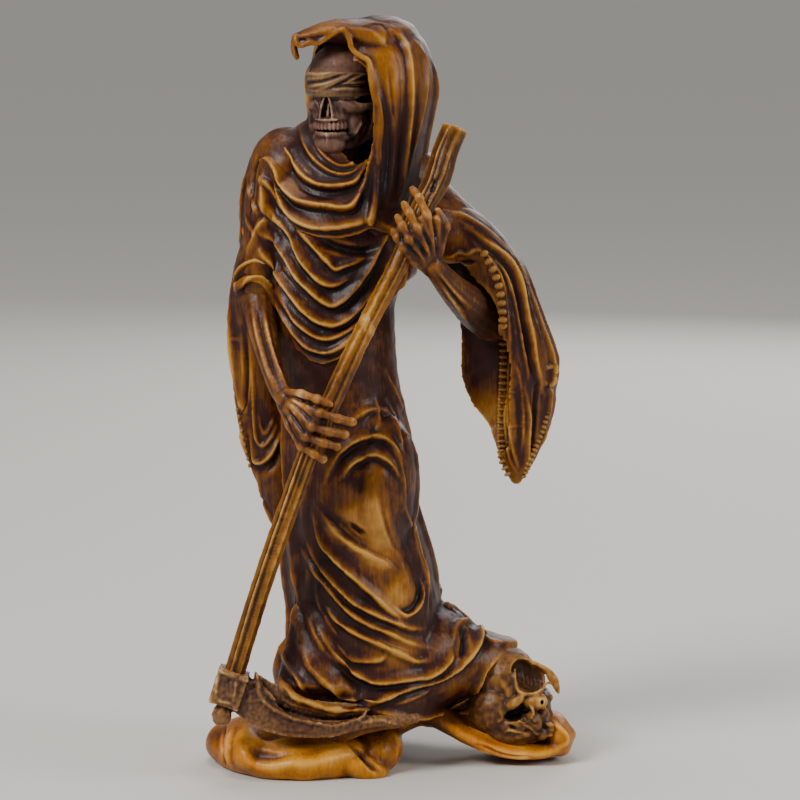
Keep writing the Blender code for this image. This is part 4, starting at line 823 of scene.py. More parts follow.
carve(hood, [
    ([(-16, 190), (-19, 176), (-18, 160)], 1.6, 3.6, 2.2, 1.2),
    ([(-9, 193), (-11, 176), (-9, 158)], 1.8, 2.2, 3.8, 1.2),
    ([(-2, 193), (-2, 176), (-3, 158)], 1.6, 3.4, 2.2, 1.2),
    ([(5, 190), (6, 174), (4, 158)], 1.6, 2.2, 3, 1.2),
    ([(-32, 160), (-26, 152), (-14, 147.4), (-4, 148), (8, 153)], 1.1, 1.3, 3.2),
    ([(-30, 166), (-22, 158), (-12, 154.6), (-2, 156)], 1.0, 1.3, 3),
], BACK_EYE)
carve(hood, [
    ([(0, 190), (3, 172), (3, 156)], 1.5, 3, 2, 1.2),
    ([(8, 191), (12, 174), (10, 156)], 1.5, 2, 3, 1.2),
], RIGHT_EYE)
carve(hood, [([(5, 190), (7, 174), (6, 160)], 1.4, 3, 2, 1.2)], LEFT_EYE)
tool_marks(hood, 3.0, 0.12, 5.0)
# Spots with a minus darken as painted shade; the last list is painted shade inside the hood round the face.
finish(hood, "hood", robe_finish, [((-1, -16, 191), 8, 0.7), ((0, -16, 182), 6, 0.4),
    ((7, -12, 187), 8, 0.7), ((-3, -17, 172), 4, 0.1), ((-16, -12, 197), 8, 0.5), ((9, -6, 176), 7, 0.2),
    ((0, -18, 158), 9, -0.9), ((-4, -20, 148), 4, 0.3), ((-17, -18, 146), 8, 0.2),
    ((-26, -14, 156), 5, 0.5), ((2.6, -16, 166), 6, -0.4)],
    [((-13, -6, 182), 12, 2.2), ((-8, -8, 168), 8, 2.0)], keep=0.72)

# Head: a skull turned to its own right, jaws parted, its teeth cut one by one, a tall nose opening
# with a sharp rim, a hollow under each cheekbone and a thin neck in the shade of the hood.
HEAD_PLACE = ((-12.6, -4.6, 179.2), (2, 0, -22))


def seat(objects, centre, turn):
    """Objects drawn round the origin, turned in degrees and moved to a centre in drawing millimetres."""
    stand = Euler([math.radians(a) for a in turn]).to_matrix().to_4x4()
    stand.translation = Vector(centre) * MM
    for obj in objects:
        obj.matrix_world = stand @ obj.matrix_basis
    return objects


def teeth(width, depth, front, height, size, first, last, count):
    """A row of teeth on an arch, between two angles in degrees."""
    row = []
    for angle in np.linspace(first, last, count):
        turn = math.radians(angle)
        row.append(ball((width * math.sin(turn), front + depth * (1 - math.cos(turn)), height), size,
            (0, 0, angle)))
    return row


head = fuse(seat([
    ball((0, 2.5, 5.4), (9.2, 11.8, 9.2)),
    ball((0, -4, 3.6), (7.9, 6.8, 6.6)),
    ball((0, -5.3, -2.6), (6.1, 5.0, 5.0)),
    ball((0, -6.4, -4.6), (5.2, 4.4, 2.9)),
    tube([(-2.2, -8.0, -0.8, 1.3), (-4.8, -7.6, -2.0, 1.5), (-6.4, -5.2, -2.4, 1.1), (-7.4, -2, -2.2, 0.8),
      (-7.8, 2, -1.5, 0.8)]),
    tube([(2.2, -8.0, -0.8, 1.3), (4.8, -8.0, -2.0, 1.5), (7, -5.4, -2.4, 1.3), (8.4, -2, -2.2, 1.0),
      (8.7, 2, -1.5, 1.0)]),
    tube([(-7.6, 1.4, -2.6, 1.6), (-7.3, 0.2, -8.4, 2.1), (-5.6, -3.6, -11, 1.7), (-3.2, -7, -11.9, 1.6),
      (0, -8.9, -12.2, 1.7), (3.2, -7, -11.9, 1.6), (5.6, -3.6, -11, 1.7), (7.3, 0.2, -8.4, 2.1),
      (7.6, 1.4, -2.6, 1.6)]),
    ball((0, -7.9, -11.6), (4.6, 3.0, 2.9)),
    ball((0, -6.2, -10.2), (5.6, 4.2, 2.2)),
    ball((-5.4, -2.6, -6.6), (2.4, 4.6, 5.0)),
    ball((5.6, -2.8, -6.6), (2.5, 4.8, 5.2)),
    tube([(0, 3, -4, 4.2), (0, 1.6, -12, 4.0), (0, 1.4, -20, 4.4)]),
], *HEAD_PLACE), 0.34, 2)
for hollow in seat([
    prism([(-1.6, -4.8), (1.6, -4.8), (1.5, -3.4), (1.0, -1.1), (0.3, 0.8), (-0.3, 0.8), (-1.0, -1.1),
      (-1.5, -3.4)], -14, -8.4),
    ball((-6.6, -7.6, -5.6), (1.6, 2.4, 1.8), (0, 0, 20)),
    ball((0, -7.4, -8.3), (5.4, 4.6, 0.42)),
], *HEAD_PLACE):
    cut(head, hollow)
upper_row = teeth(4.9, 5.6, -10.9, -7.0, (0.5, 0.6, 1.15), -72, 72, 13)
lower_row = teeth(4.5, 5.2, -10.6, -9.2, (0.42, 0.5, 0.75), -62, 62, 13)
head = fuse([head] + seat(upper_row + lower_row + [
    tube([(-1.75, -10.7, -4.9, 1), (-1.65, -10.7, -3.4, 1), (-1.15, -10.4, -1.1, 1), (-0.4, -10.2, 0.8, 1),
      (0, -10.2, 1.2, 1.2), (0.4, -10.2, 0.8, 1), (1.15, -10.4, -1.1, 1), (1.65, -10.7, -3.4, 1),
      (1.75, -10.7, -4.9, 1)], 0.34),
    tube([(-3, -10.5, -5.3, 1), (-1.2, -11.1, -5.4, 1), (0, -11.3, -5.4, 1.2), (1.2, -11.1, -5.4, 1),
      (3, -10.5, -5.3, 1)], 0.32),
    tube([(0, -9.6, -4.9, 1.2), (0, -9.2, -3.2, 1), (0, -8.8, -1.2, 0.7)], 0.4),
], *HEAD_PLACE), 0.26, 1)
carve(head, [
    ([(-14.6, 178.3), (-12.4, 178.7), (-10.6, 178.4), (-9.2, 177.6), (-7.4, 178.2)], 0.45, 0.8, 1.2, 1),
    ([(-7.3, 172.6), (-8.3, 170.7), (-9.4, 168.7)], 0.7, 0.6, 0.8, 1),
    ([(-6, 172.8), (-6.9, 170.8), (-7.8, 168.9)], -0.5, 0.5, 0.5, 1),
    ([(-3.9, 174), (-4.7, 171.8), (-5.5, 169.6)], 0.4, 0.5, 0.7, 1),
    ([(-20.2, 177.4), (-19.2, 175.8), (-18.5, 174.4)], -0.3, 0.4, 0.4, 1),
    ([(-19.4, 178.2), (-18.7, 176.6), (-18.2, 175)], -0.3, 0.4, 0.4, 1),
    ([(-17.0, 169.6), (-16.5, 168.4), (-16.6, 166.6)], 0.4, 0.6, 0.6, 1),
    ([(-14.2, 176.8), (-13.6, 175.2), (-13.2, 173.8)], -0.35, 0.5, 0.5, 1),
    ([(-12.4, 176.4), (-11.8, 174.8), (-11.6, 173.6)], -0.3, 0.5, 0.5, 1),
    ([(-14.6, 169.8), (-11.6, 169.4), (-9.7, 169.9)], 0.3, 0.5, 0.5, 1),
])
tool_marks(head, 1.6, 0.1)
# The spot with -0.8 is painted shade on the jaw under the hood; the last list is painted shade round the
# mouth.
finish(head, "skull", skull_finish, [((-8.8, -12, 178), 2.4, 1.6), ((-16.5, -14, 167.5), 2.4, 0.2),
    ((-15, -14, 173), 3.4, 0.5), ((-9, -12, 168), 5, -0.8), ((-13, -12, 189), 5, 0.7)],
    [((-9, -10, 171), 6, 0.5)], keep=0.8)

# Blindfold: strips of cloth wound round the eyes, crossing above the nose.
blindfold = fuse(seat([loft([(0, -0.7, 0.6, 8.6, 10.5), (0, -0.7, 1.6, 8.9, 10.9),
    (0, -0.7, 3.6, 9.0, 11.0), (0, -0.7, 5.0, 8.9, 10.9), (0, -0.6, 6.0, 8.6, 10.5)], cap=0.04)],
    *HEAD_PLACE), 0.3, 2)
carve(blindfold, [
    ([(-22, 185.0), (-21.1, 185.0), (-18, 184.8), (-14.9, 185.4), (-12.7, 185.8), (-9, 185.8)], 0.5, 0.6,
      0.9, 1),
    ([(-22, 183.8), (-21, 183.8), (-18.6, 183.9), (-16, 184.4), (-13.4, 185.0)], 0.35, 0.5, 0.5, 1),
    ([(-22, 182.8), (-21, 182.8), (-18.4, 182.9), (-16, 183.4), (-13.4, 184.3), (-10.1, 185.3), (-8, 186)],
      -0.8, 0.55, 0.55, 1),
    ([(-22, 181.6), (-21, 181.6), (-19, 182), (-17.1, 182.4), (-14.5, 183.4), (-12.3, 184.2),
      (-10.1, 184.9)], 0.5, 0.6, 0.6, 1),
    ([(-19, 180.9), (-16, 181.8), (-13.4, 182.9), (-11.2, 183.8), (-9.0, 184.7)], 0.4, 0.45, 0.45, 1),
    ([(-17.4, 180.6), (-14.5, 181.8), (-12.3, 182.9), (-10.6, 183.8), (-8.6, 184.8), (-4, 186)], -0.8,
      0.55, 0.55, 1),
    ([(-11.6, 183.1), (-9.3, 183.7), (-7.5, 184.4), (-4, 185.2)], 0.45, 0.5, 0.6, 1),
    ([(-12.6, 182.2), (-10.1, 182.3), (-7.9, 182.7), (-4, 183)], 0.45, 0.6, 0.5, 1),
    ([(-16, 180.7), (-13.8, 181.5), (-11.6, 181.9), (-9.7, 181.9), (-6.9, 181.8), (-3, 182.0)], -0.8, 0.5,
      0.5, 1),
    ([(-15, 180.9), (-13.1, 181.0), (-11.2, 181.0), (-7.6, 180.9)], 0.45, 0.8, 0.8, 0.8),
    ([(-22, 180.8), (-20.9, 180.7), (-19.3, 180.4), (-17.7, 180.9)], 0.4, 0.6, 0.5, 1),
])
carve(blindfold, [([(-30, z), (-12, z + 0.8), (4, z)], -0.6, 0.5, 0.5, 1) for z in (181.6, 183.6)],
    BACK_EYE)
tool_marks(blindfold, 1.4, 0.08, 2.0)
# The spot with a minus is painted shade.
finish(blindfold, "blindfold", bandage_finish, [((-18, -14, 184.6), 3.4, 0.5),
    ((-16, -15, 182.2), 2.5, 0.4), ((-6, -12, 183), 4, -0.6)])

# Arms and hands: bare bone, every finger cut free of the next and bent round the staff.
FINGERS = (
    ((-27, -28, 103.4), (-22.6, -32.4, 101.2), (-17.9, -35.2, 99.2), (-13.4, -36, 98), (-9.8, -34.4, 96.9),
      (-9.2, -31.8, 96.4)),
    ((-27.4, -28, 102.6), (-23.8, -32.6, 99.2), (-20, -35.6, 95.9), (-15.4, -36.4, 94.6),
      (-11.6, -34.6, 93.7), (-11.2, -31.8, 93.3)),
    ((-27.9, -27.6, 101.8), (-24.8, -32, 97.2), (-21.4, -35, 93.2), (-17, -36, 91.7), (-13.6, -34.2, 90.6),
      (-13.4, -31.4, 90.2)),
    ((-28.4, -27, 101), (-25.8, -31, 95.6), (-22.6, -33.8, 90.6), (-19.4, -34.8, 88.6),
      (-17.2, -33.2, 87.2), (-17, -30.6, 87)),
    ((-26.6, -29, 103.9), (-22.6, -33, 104), (-18.6, -34.6, 102.8), (-15.2, -34, 101.4)),
    ((12.2, -21, 135.6), (13.2, -22.5, 141.2), (14.5, -22, 146.1), (12.4, -22, 150.4)),
    ((11.7, -22, 135.7), (10.8, -25, 142.7), (9.5, -25.8, 149.5), (7.7, -24.8, 153.8), (5.8, -21.6, 156)),
    ((11.1, -22, 135.4), (9.3, -26, 140.9), (7, -27.2, 146.3), (5.1, -26.4, 150.1), (3.6, -23.4, 152.3)),
    ((10.6, -22, 134.9), (7.7, -26, 139.1), (4.9, -28, 143.4), (3.3, -27.2, 146.8), (2, -24.4, 148.9)),
    ((10.1, -21, 134.3), (6.5, -25, 137.5), (3.4, -27.4, 141.5), (1.9, -26.8, 143.7), (0.9, -24.4, 145.3)),
)


def bony(line, radius):
    """A finger along its joints: thin shafts and swollen knuckles."""
    rows = []
    for i, (a, b) in enumerate(zip(line[:-1], line[1:])):
        a, b = np.array(a, float), np.array(b, float)
        knuckle = 1.0 if i == 0 else 1.24 if i == 2 else 1.1
        rows += [(*a, knuckle), (*(0.72 * a + 0.28 * b), 0.96), (*(0.3 * a + 0.7 * b), 0.94)]
    return tube(rows + [(*line[-1], 0.75)], radius)


arms = fuse([
    tube([(-35.5, -2, 131, 4.8), (-34.7, -5, 125.7, 4.5), (-33.3, -11, 118.3, 3.9),
      (-31.2, -18, 111.1, 3.2), (-28.6, -25, 104.6, 2.8), (-26.8, -28, 102.2, 2.7)]),
    tube([(27, 4, 120, 6.4), (22.6, -3, 123.4, 5.6), (17.4, -12, 128.3, 4.1), (12.8, -19.5, 134, 3.1),
      (11, -22, 136.5, 2.8)]),
    ball((-24, -31, 98.6), (4.8, 2.2, 4.6), (12, 25, -32)),
    ball((-20.6, -33, 97.4), (4.4, 2.2, 4.6), (10, 25, -20)),
    ball((9.2, -22.8, 140.6), (4.4, 2.2, 5.8), (8, -14, 14)),
] + [bony(line, 1.18) for line in FINGERS] + [
    tube([(*((np.array(a) + np.array(b)) / 2 + (0, 0.8, 0)), 1.0)
          for a, b in zip(first[:3], second[:3])], 1.6)
    for first, second in zip(FINGERS, FINGERS[1:]) if first is not FINGERS[3] and first is not FINGERS[4]
], 0.31, 2)
carve(arms, [
    ([(-36.2, -6, 124), (-35, -12, 118), (-32.6, -19, 110.6), (-29.8, -26, 104.4)], 0.6, 0.9, 0.9, 1),
    ([(-33.4, -8, 124), (-31.8, -14, 117), (-29.4, -21, 110.4), (-26.6, -27, 105)], 0.7, 0.8, 0.8, 1),
    ([(-34.6, -8, 123), (-33.2, -14, 117), (-31, -21, 110.6), (-28.2, -27, 104.6)], -0.6, 0.6, 0.6, 1),
    ([(13.6, -20, 131), (17.4, -13, 125), (21, -6, 119.6)], 0.6, 0.8, 0.8, 1),
    ([(12, -20, 135.4), (16, -13.6, 129.6), (21, -6, 124)], 0.5, 0.8, 0.8, 1),
    ([(12.8, -20, 133), (16.6, -13, 127.4), (20.6, -6, 122)], -0.5, 0.6, 0.6, 1),
    ([(-27.2, 98.4), (-24, 96), (-20.6, 92.8)], -0.6, 0.7, 0.7, 1),
    ([(-27.6, 96.6), (-25, 92.8), (-22.6, 89.4)], -0.6, 0.7, 0.7, 1),
    ([(-28.4, 95.4), (-26.4, 90.6), (-24.4, 87.2)], -0.5, 0.6, 0.6, 1),
    ([(-26, 99.2), (-22.6, 98.2), (-20, 96.6)], -0.6, 0.6, 0.6, 1),
    ([(11.2, 137.2), (10.4, 140.4), (8.9, 144)], -0.7, 0.7, 0.7, 1),
    ([(9.7, 136.4), (8.4, 139), (6.4, 141.8)], -0.7, 0.7, 0.7, 1),
    ([(8.6, 135.2), (6.8, 137.4), (4.4, 139.9)], -0.6, 0.6, 0.6, 1),
    ([(12.6, 137), (12.2, 141), (11.6, 145)], -0.7, 0.6, 0.6, 1),
])
tool_marks(arms, 1.5, 0.08, 7.0)
# Spots with a minus are painted shade, deepest where the forearm enters the great sleeve.
finish(arms, "arms_and_hands", bone_finish, [((-24, -34, 102), 4, 1.1), ((10, -26, 148), 5, 0.5),
    ((10, -24, 137), 4, 0.4), ((-33, -14, 118), 8, 0.3), ((23, -3, 122), 8, -1.0),
    ((-16, -33, 92), 6, -0.5), ((6, -26, 140), 5, -0.4)], keep=0.8)

# Scythe: a crooked stick held head down, riven along its grain; its square collar, the blade laid
# along the foot with a raised inner rim, and the thin spike where blade meets collar.
STAFF = ((16.9, -13, 171.2, 1.3), (14.5, -14.4, 165.5, 1.3), (12.1, -17, 158, 1.36),
    (7.6, -20.6, 149.3, 1.1), (2.6, -24, 137.4, 1), (-6.5, -28, 120.1, 0.97), (-14.2, -31, 103.6, 1.02),
    (-20.1, -31.4, 90.6, 1), (-25.9, -30.6, 74.8, 1.05), (-33.3, -28, 53.4, 1.02),
    (-40.3, -26.4, 30.8, 1.05), (-41.6, -26.2, 26, 1))
staff = fuse([
    loft([(x, y, z, 2.75 * r, 2.75 * r) for x, y, z, r in STAFF], (0, 1, 0), 7, 6, 0.12),
    ball((-26.6, -31, 73), (2.4, 2.2, 3.4)),
    ball((-6, -28.6, 121), (2.3, 2.3, 3.6)),
    ball((-37.8, -27, 39), (2.4, 2.3, 3.2)),
], 0.34, 2)
carve(staff, [
    ([(x + shift + drift * i, y, z) for i, (x, y, z, _) in enumerate(STAFF[first:last])],
      height, 0.45, 0.45, 1)
    for shift, drift, height, first, last in (
        (-1.9, 0.05, 0.4, 0, 6), (-1.3, 0.1, -0.5, 0, 5), (-0.5, -0.1, 0.3, 1, 7),
        (0.4, 0.1, -0.45, 2, 8), (1.3, 0, 0.4, 0, 5), (0.8, -0.15, -0.5, 5, 12),
        (-1.7, 0.1, 0.4, 5, 12), (-1.0, 0.2, -0.6, 6, 11), (0, 0.1, 0.3, 6, 12),
        (1.7, -0.05, 0.35, 6, 12), (2.0, -0.1, -0.45, 1, 6), (-2.1, 0.2, -0.4, 7, 12))
])
carve(staff, [([(12.2, 157.4), (11.8, 155.9), (11.4, 154.6), (11, 153.6)], -1.1, 0.7, 0.7, 1)])
carve(staff, [
    ([(x + shift, y, z) for x, y, z, _ in STAFF], height, 0.6, 0.6, 1)
    for shift, height in ((-1.2, -0.5), (0, 0.4), (1.1, -0.5))
], BACK_EYE)
tool_marks(staff, 2.2, 0.14, 11.0)
finish(staff, "staff", staff_finish, [((-5, -31, 119), 14, 0.7), ((-28, -32, 66), 10, 0.5),
    ((-37, -30, 42), 8, 0.3)], keep=0.8)

collar = join([block(
    "collar", [(x * MM, y * MM, z * MM) for x in (-4, 4) for y in (-3.7, 3.7) for z in (-4.8, 4.8)],
    [(0, 1, 3, 2), (4, 6, 7, 5), (0, 4, 5, 1), (2, 3, 7, 6), (0, 2, 6, 4), (1, 5, 7, 3)])])
collar.location = Vector((-42, -26.6, 26)) * MM
collar.rotation_euler = (0, math.radians(18), 0)
blade = fuse([
    loft([(-42, -26.4, 25.6, 2.8, 5.8), (-38, -26.8, 23.6, 2.1, 5), (-34.4, -27, 20.9, 1.9, 5),
      (-31.4, -27, 18.2, 1.8, 3.8), (-27, -27, 15.9, 1.7, 3), (-20, -26.6, 15, 1.7, 2.4),
      (-13, -25, 14.9, 1.6, 1.9), (-8, -23.4, 15.7, 1.5, 1.7), (-3, -21.6, 15.9, 1.4, 1.6),
      (2, -19.4, 15.5, 1.3, 1.5), (7, -16, 15.6, 1.2, 1.3)], (0, 1, 0)),
    loft([(-36.5, -25.2, 23.8, 0.9, 5.8), (-32, -24.6, 21.8, 0.9, 5), (-27, -23.8, 19.4, 0.9, 4.4),
      (-20, -23.4, 18, 0.9, 4), (-13, -22.4, 17.8, 0.9, 3.4), (-7, -21.6, 18.4, 0.9, 2.2)], (0, 1, 0)),
    tube([(-34.4, -27, 23, 2.0), (-34.6, -27, 26.4, 1.5), (-34.8, -27, 28.6, 0.8), (-35, -27, 30, 0.4)]),
    tube([(-34.7, -28, 29.8, 0.7), (-34.2, -28.5, 26.1, 1), (-33.5, -28.7, 23.5, 1.1),
      (-30.8, -28.7, 20.9, 1), (-27.2, -28.6, 18.8, 1.1), (-23, -28.4, 17.4, 1), (-19.4, -28, 16.6, 1.1),
      (-14.7, -26.8, 15.7, 1), (-10.5, -25.5, 16.5, 1), (-7.3, -24.5, 17.4, 1), (-6.3, -23.8, 19, 0.8)],
      0.5),
    collar,
    ball((-44.0, -26.8, 18.6), (2.6, 2.6, 3.0)),
], 0.32, 1)
carve(blade, [
    ([(-34.4, 22), (-33.5, 18.6), (-31, 16), (-27.4, 14), (-21.5, 12.4), (-16.2, 11.6), (-10, 12.8)], -0.8,
      1.1, 0.8, 1),
    ([(-30.6, 18.6), (-26.4, 16), (-22, 14.8), (-17, 13.4)], 0.5, 0.6, 0.6, 1),
    ([(-41.1, 11.9), (-38.9, 11.4), (-33.1, 8.7), (-24.8, 7.2), (-17, 7.2), (-10.8, 8.2)], 0.5, 0.9, 0.6,
      1),
    ([(-8, 10.6), (-3, 11.4), (3, 10.2)], 0.5, 0.7, 0.7, 1),
    ([(-46.2, 25), (-41.2, 23.2)], 0.6, 0.6, 0.6, 1),
    ([(-41.1, 23.4), (-42.3, 16.2)], 0.7, 0.6, 0.6, 1),
    ([(-42.4, 15.9), (-46.9, 17.1)], 0.6, 0.6, 0.6, 1),
    ([(-46.3, 25), (-46.9, 17.2)], 0.6, 0.6, 0.6, 1),
    ([(-42.4, 22.4), (-42.9, 17)], 0.4, 0.5, 0.5, 1),
    ([(-40.9, 23), (-36.3, 21.6)], 0.5, 0.6, 0.6, 1),
    ([(-46.6, 15.8), (-44, 15), (-41.8, 14.6)], -0.7, 0.6, 0.6, 1),
])
tool_marks(blade, 0.9, 0.26, 13.0)
finish(blade, "blade_and_collar", iron_finish, [((-33, -28, 17), 6, 0.2), ((-44, -30, 25), 4, 0.2)])

# Foot: a thick pad of rolled lobes like a pebble, a bridge clear of the ground and a thin second
# pad that curls up at its end under the fallen skull.
foot = fuse([
    loft([(-23.4, 1.2, 1.2, 24, 26), (-23.4, 1.2, 4.6, 25.2, 27), (-23.4, 1.2, 8.2, 24.2, 26)], around=64,
      cap=0.13),
    ball((-43.6, 1, 5.3), (6.2, 12.6, 5.3)),
    ball((-36.4, -6, 6.4), (9.6, 17, 7.4)),
    ball((-3.2, -8, 5.9), (6.8, 11.6, 6.6)),
    ball((-7.4, -17.2, 2.8), (7.4, 6.4, 3.7), (0, 14, 0)),
    loft([(-12, 3, 9, 15, 5), (-2, 4, 10.6, 13, 4.6), (7, 5, 13.2, 11.6, 3.8), (12, 5, 12.8, 11.6, 3.6),
      (17, 4, 10.4, 12.2, 3.5), (22, 3, 7.8, 12.5, 3.2), (28, 3, 5.2, 12.6, 2.9), (34, 4, 3.8, 13.4, 2.6),
      (40, 5, 3.8, 13.6, 2.8), (44, 6.4, 4.8, 12, 3.4), (46.6, 7.6, 6.2, 8.6, 2.8)], (0, 1, 0)),
    ball((24, 6, 9), (13, 9.5, 6), (0, 20, 0)),
    ball((44.8, 2.6, 7.4), (4.2, 9.5, 6.4), (0, -16, 6)),
], 0.5, 6)
cut(foot, ball((-30.2, -24.4, 6.8), (0.55, 1.4, 0.9), (0, 18, 0)))
foot = fuse([foot], 0.5, 10)
carve(foot, [
    ([(-44.4, 9.6), (-45.2, 6), (-45.2, 3), (-44.7, -1)], -1.9, 1.1, 1.1, 1),
    ([(-42, 10), (-43.4, 6), (-43.6, 2), (-42.6, -2)], 0.7, 1.2, 2.6, 1),
    ([(-40.8, 5), (-39, 1.7), (-36.5, -0.3), (-32.5, -1.1), (-27.2, -0.5), (-22.4, -0.5), (-17.5, 0.5),
      (-12.3, 1.6), (-8, 3)], 1.5, 3.2, 4.6, 1.0),
    ([(-38.4, 3.6), (-36, 1.8), (-32, 1), (-27, 1.8), (-21.6, 2.2), (-16, 3)], -0.7, 1.6, 1.6, 1),
    ([(-39.7, 10), (-37.8, 7.8), (-36.4, 6.2), (-33.1, 4.9), (-28.1, 6.0), (-22.4, 6.4), (-15.7, 6.4),
      (-10.8, 6.2), (-7, 4)], 0.8, 1.6, 3.2, 1),
    ([(-11.2, 5), (-8.6, 2.4), (-5.7, -0.3), (-2.4, -3.4)], -1.1, 1.2, 1.2, 1),
    ([(1, 8), (2, 4.6), (1.6, 0)], 0.5, 1.6, 1.2, 1),
    ([(21.1, 9.6), (24.4, 7.9), (28.2, 6.2), (32.1, 5), (35.4, 4.5), (38.2, 4.5), (40.9, 4.8)], 0.9, 1.0,
      2.2, 1),
    ([(22.5, 5), (26.1, 4), (28.5, 2.6), (31.3, 1.7), (34.3, 1.3), (37.1, 1.4), (40.1, 0.5)], -1.2, 0.7,
      0.6, 1),
    ([(22.4, 4), (26, 2.8), (28.7, 1.5), (31.5, 0.6), (36, 0.2)], 0.6, 0.6, 1.0, 1),
    ([(42.5, 12.1), (45, 9.9), (47.4, 7.4), (47.4, 5.2), (44.6, 3.4)], 0.8, 1.0, 1.0, 1),
    ([(-2, 9), (2, 11), (8, 12.4)], -0.7, 1.2, 1.2, 1),
])
carve(foot, [
    ([(-44, 6), (-30, 3), (-10, 4), (0, 8)], 0.8, 2, 3, 1.2),
    ([(24, 5), (34, 3), (44, 4)], 0.6, 1.5, 2, 1.2),
], BACK_EYE)
tool_marks(foot, 5.0, 0.24, 17.0)
# Spots with a minus are painted shade.
finish(foot, "foot", golden_finish, [((-26, -24, 9), 8, 0.5), ((-14, -22, 9), 7, 0.5),
    ((-39, -20, 13), 5, 0.6), ((34, -9, 5), 8, 0.6), ((-2, -17, 8), 5, -0.5), ((-35, -23, 7), 5, -0.3),
    ((45, -4, 9), 4, -0.2), ((-47, -6, 6), 5, -0.4), ((11, -6, 13), 9, -0.9), ((-3, -12, 9), 6, -0.4)],
    keep=0.7)

# Fallen skull: half under the train on the second pad, its crown broken open, one deep socket, the
# boss between the brows with a small hole, a crumbled cheek and the last teeth.
FALLEN_PLACE = ((32.6, 3.6, 17.6), (-2, -22, 50))
fallen = fuse(seat([
    ball((0, 2.5, 5.4), (9.2, 11.8, 9.2)),
    ball((0, -4, 3.6), (7.9, 6.8, 6.6)),
    ball((0, -5.5, -3.5), (6.3, 5.3, 6)),
    ball((0, -7.8, -7), (4.5, 3.8, 3.4)),
    tube([(-5.2, -8, -3, 1.5), (-8, -4.5, -2.6, 1.1), (-8.7, 1, -1.5, 1.1)]),
    tube([(5.2, -8, -3, 1.5), (8, -4.5, -2.6, 1.1), (8.7, 1, -1.5, 1.1)]),
], *FALLEN_PLACE), 0.34, 2)
cut(fallen, ball((37.9, -5, 24.5), (6.0, 6.4, 4.1), (0, 33, 0)))
cut(fallen, ball((42.6, -7.4, 15.2), (1.6, 3.0, 2.0)))
fallen = fuse([
    fallen,
    tube([(33.4, -5, 26.4, 0.8), (33.4, -6.4, 24.2, 0.9), (34.0, -7.6, 21.5, 1), (35.2, -8.2, 20.5, 1.1),
      (36.9, -8.4, 20.3, 1), (39, -8, 20.6, 1), (40.7, -7, 21.6, 1), (42, -5.4, 22.8, 1),
      (43.4, -3.4, 22.2, 0.9)], 0.5),
    tube([(36, 0.4, 28, 0.7), (38.4, 0.6, 27.2, 0.8), (40.6, 0.4, 26.2, 0.9), (42.4, 0, 24.8, 1.2),
      (43.8, -0.4, 23, 1.6), (44.6, -0.8, 21.2, 1.3), (45.3, -1, 19.2, 0.6)], 0.8),
    ball((38.8, -6.8, 18.1), (3.4, 2.7, 2.4)),
    tube([(29.6, -5, 15.4, 0.9), (31.2, -6.6, 16.5, 1.1), (33, -7.6, 17.7, 1.2), (34.6, -8, 19.1, 1.0),
      (35.2, -8, 20.2, 0.8)], 1.2),
    ball((33, 0, 9.4), (10, 8.6, 5.2)),
    ball((28.6, 1, 14.6), (8, 9.4, 8.6)),
    ball((34.6, -5.6, 11), (6.8, 3.8, 3.8), (0, 4, 0)),
    ball((38.4, -7.2, 12.6), (2.4, 2.2, 3.0), (0, -20, 0)),
    ball((35.4, -8.0, 9.4), (2.6, 1.6, 1.2), (0, -10, 0)),
    ball((40.6, -5.6, 9.2), (1.8, 2.4, 2.0)),
    ball((40.8, -4.6, 13), (2.2, 2.4, 3.4)),
    ball((42.6, -6.4, 11.7), (1.3, 1.4, 0.7), (0, 14, 0)),
    ball((42.9, -6.2, 10.3), (1.2, 1.4, 0.65), (0, 8, 0)),
    ball((42.6, -6.4, 9.0), (1.1, 1.3, 0.6)),
], 0.3, 2)
cut(fallen, ball((33.6, -8.6, 14.7), (3.2, 3.8, 1.6), (0, -16, 0)))
cut(fallen, ball((40.5, -9.4, 18.2), (0.5, 2.4, 0.75)))
cut(fallen, ball((36.6, -10, 10.6), (2.2, 1.4, 0.5), (0, -14, 0)))
cut(fallen, ball((32.6, -9.6, 11.6), (1.8, 1.4, 0.5), (0, 20, 0)))
fallen = fuse([fallen, tube([(37.0, -8.8, 17.8, 0.8), (37.9, -9.5, 16.8, 1), (38.2, -9.7, 15.6, 1),
    (37.6, -9.4, 14.2, 0.8)], 0.42)], 0.3, 1)
carve(fallen, [
    ([(29.3, 14.4), (30.2, 12.1), (28.5, 10.7)], 0.5, 0.6, 0.6, 1),
    ([(35.4, 10.4), (37.6, 9.6), (39.3, 7.9), (40.6, 7.9)], 0.6, 0.5, 0.5, 1),
    ([(30.7, 7.9), (32.1, 8.7), (34.3, 8.3), (36.5, 7.9)], 0.6, 0.5, 0.5, 1),
    ([(37.4, 12.4), (38.8, 10.6), (40.2, 11)], -0.6, 0.4, 0.4, 1),
    ([(34.2, 11.8), (35.6, 10.8), (37.4, 11)], 0.5, 0.4, 0.4, 1),
    ([(29.6, 22), (31.6, 19.6), (32, 17.4)], 0.5, 1.4, 1.2, 1),
] + [
    ([(34.6 + 1.2 * i, 26 - 0.7 * i), (35.4 + 1.1 * i, 23.4 - 0.5 * i), (35.6 + i, 21 - 0.2 * i)],
      -0.35, 0.4, 0.4, 1) for i in range(6)
])
tool_marks(fallen, 1.5, 0.2, 19.0)
# The spot with a minus and the last list are painted shade, the last in the deep socket.
finish(fallen, "fallen_skull", old_skull_finish, [((28.6, -6, 22), 4, 0.4), ((40, -8, 18.6), 3, 1.0),
    ((34, -8, 18.4), 2.4, 0.8), ((36, -8, 9), 4, -0.2), ((38, 0, 25), 4, 0.5)],
    [((33.6, -7, 14.7), 3.4, 1.0)], keep=0.75)

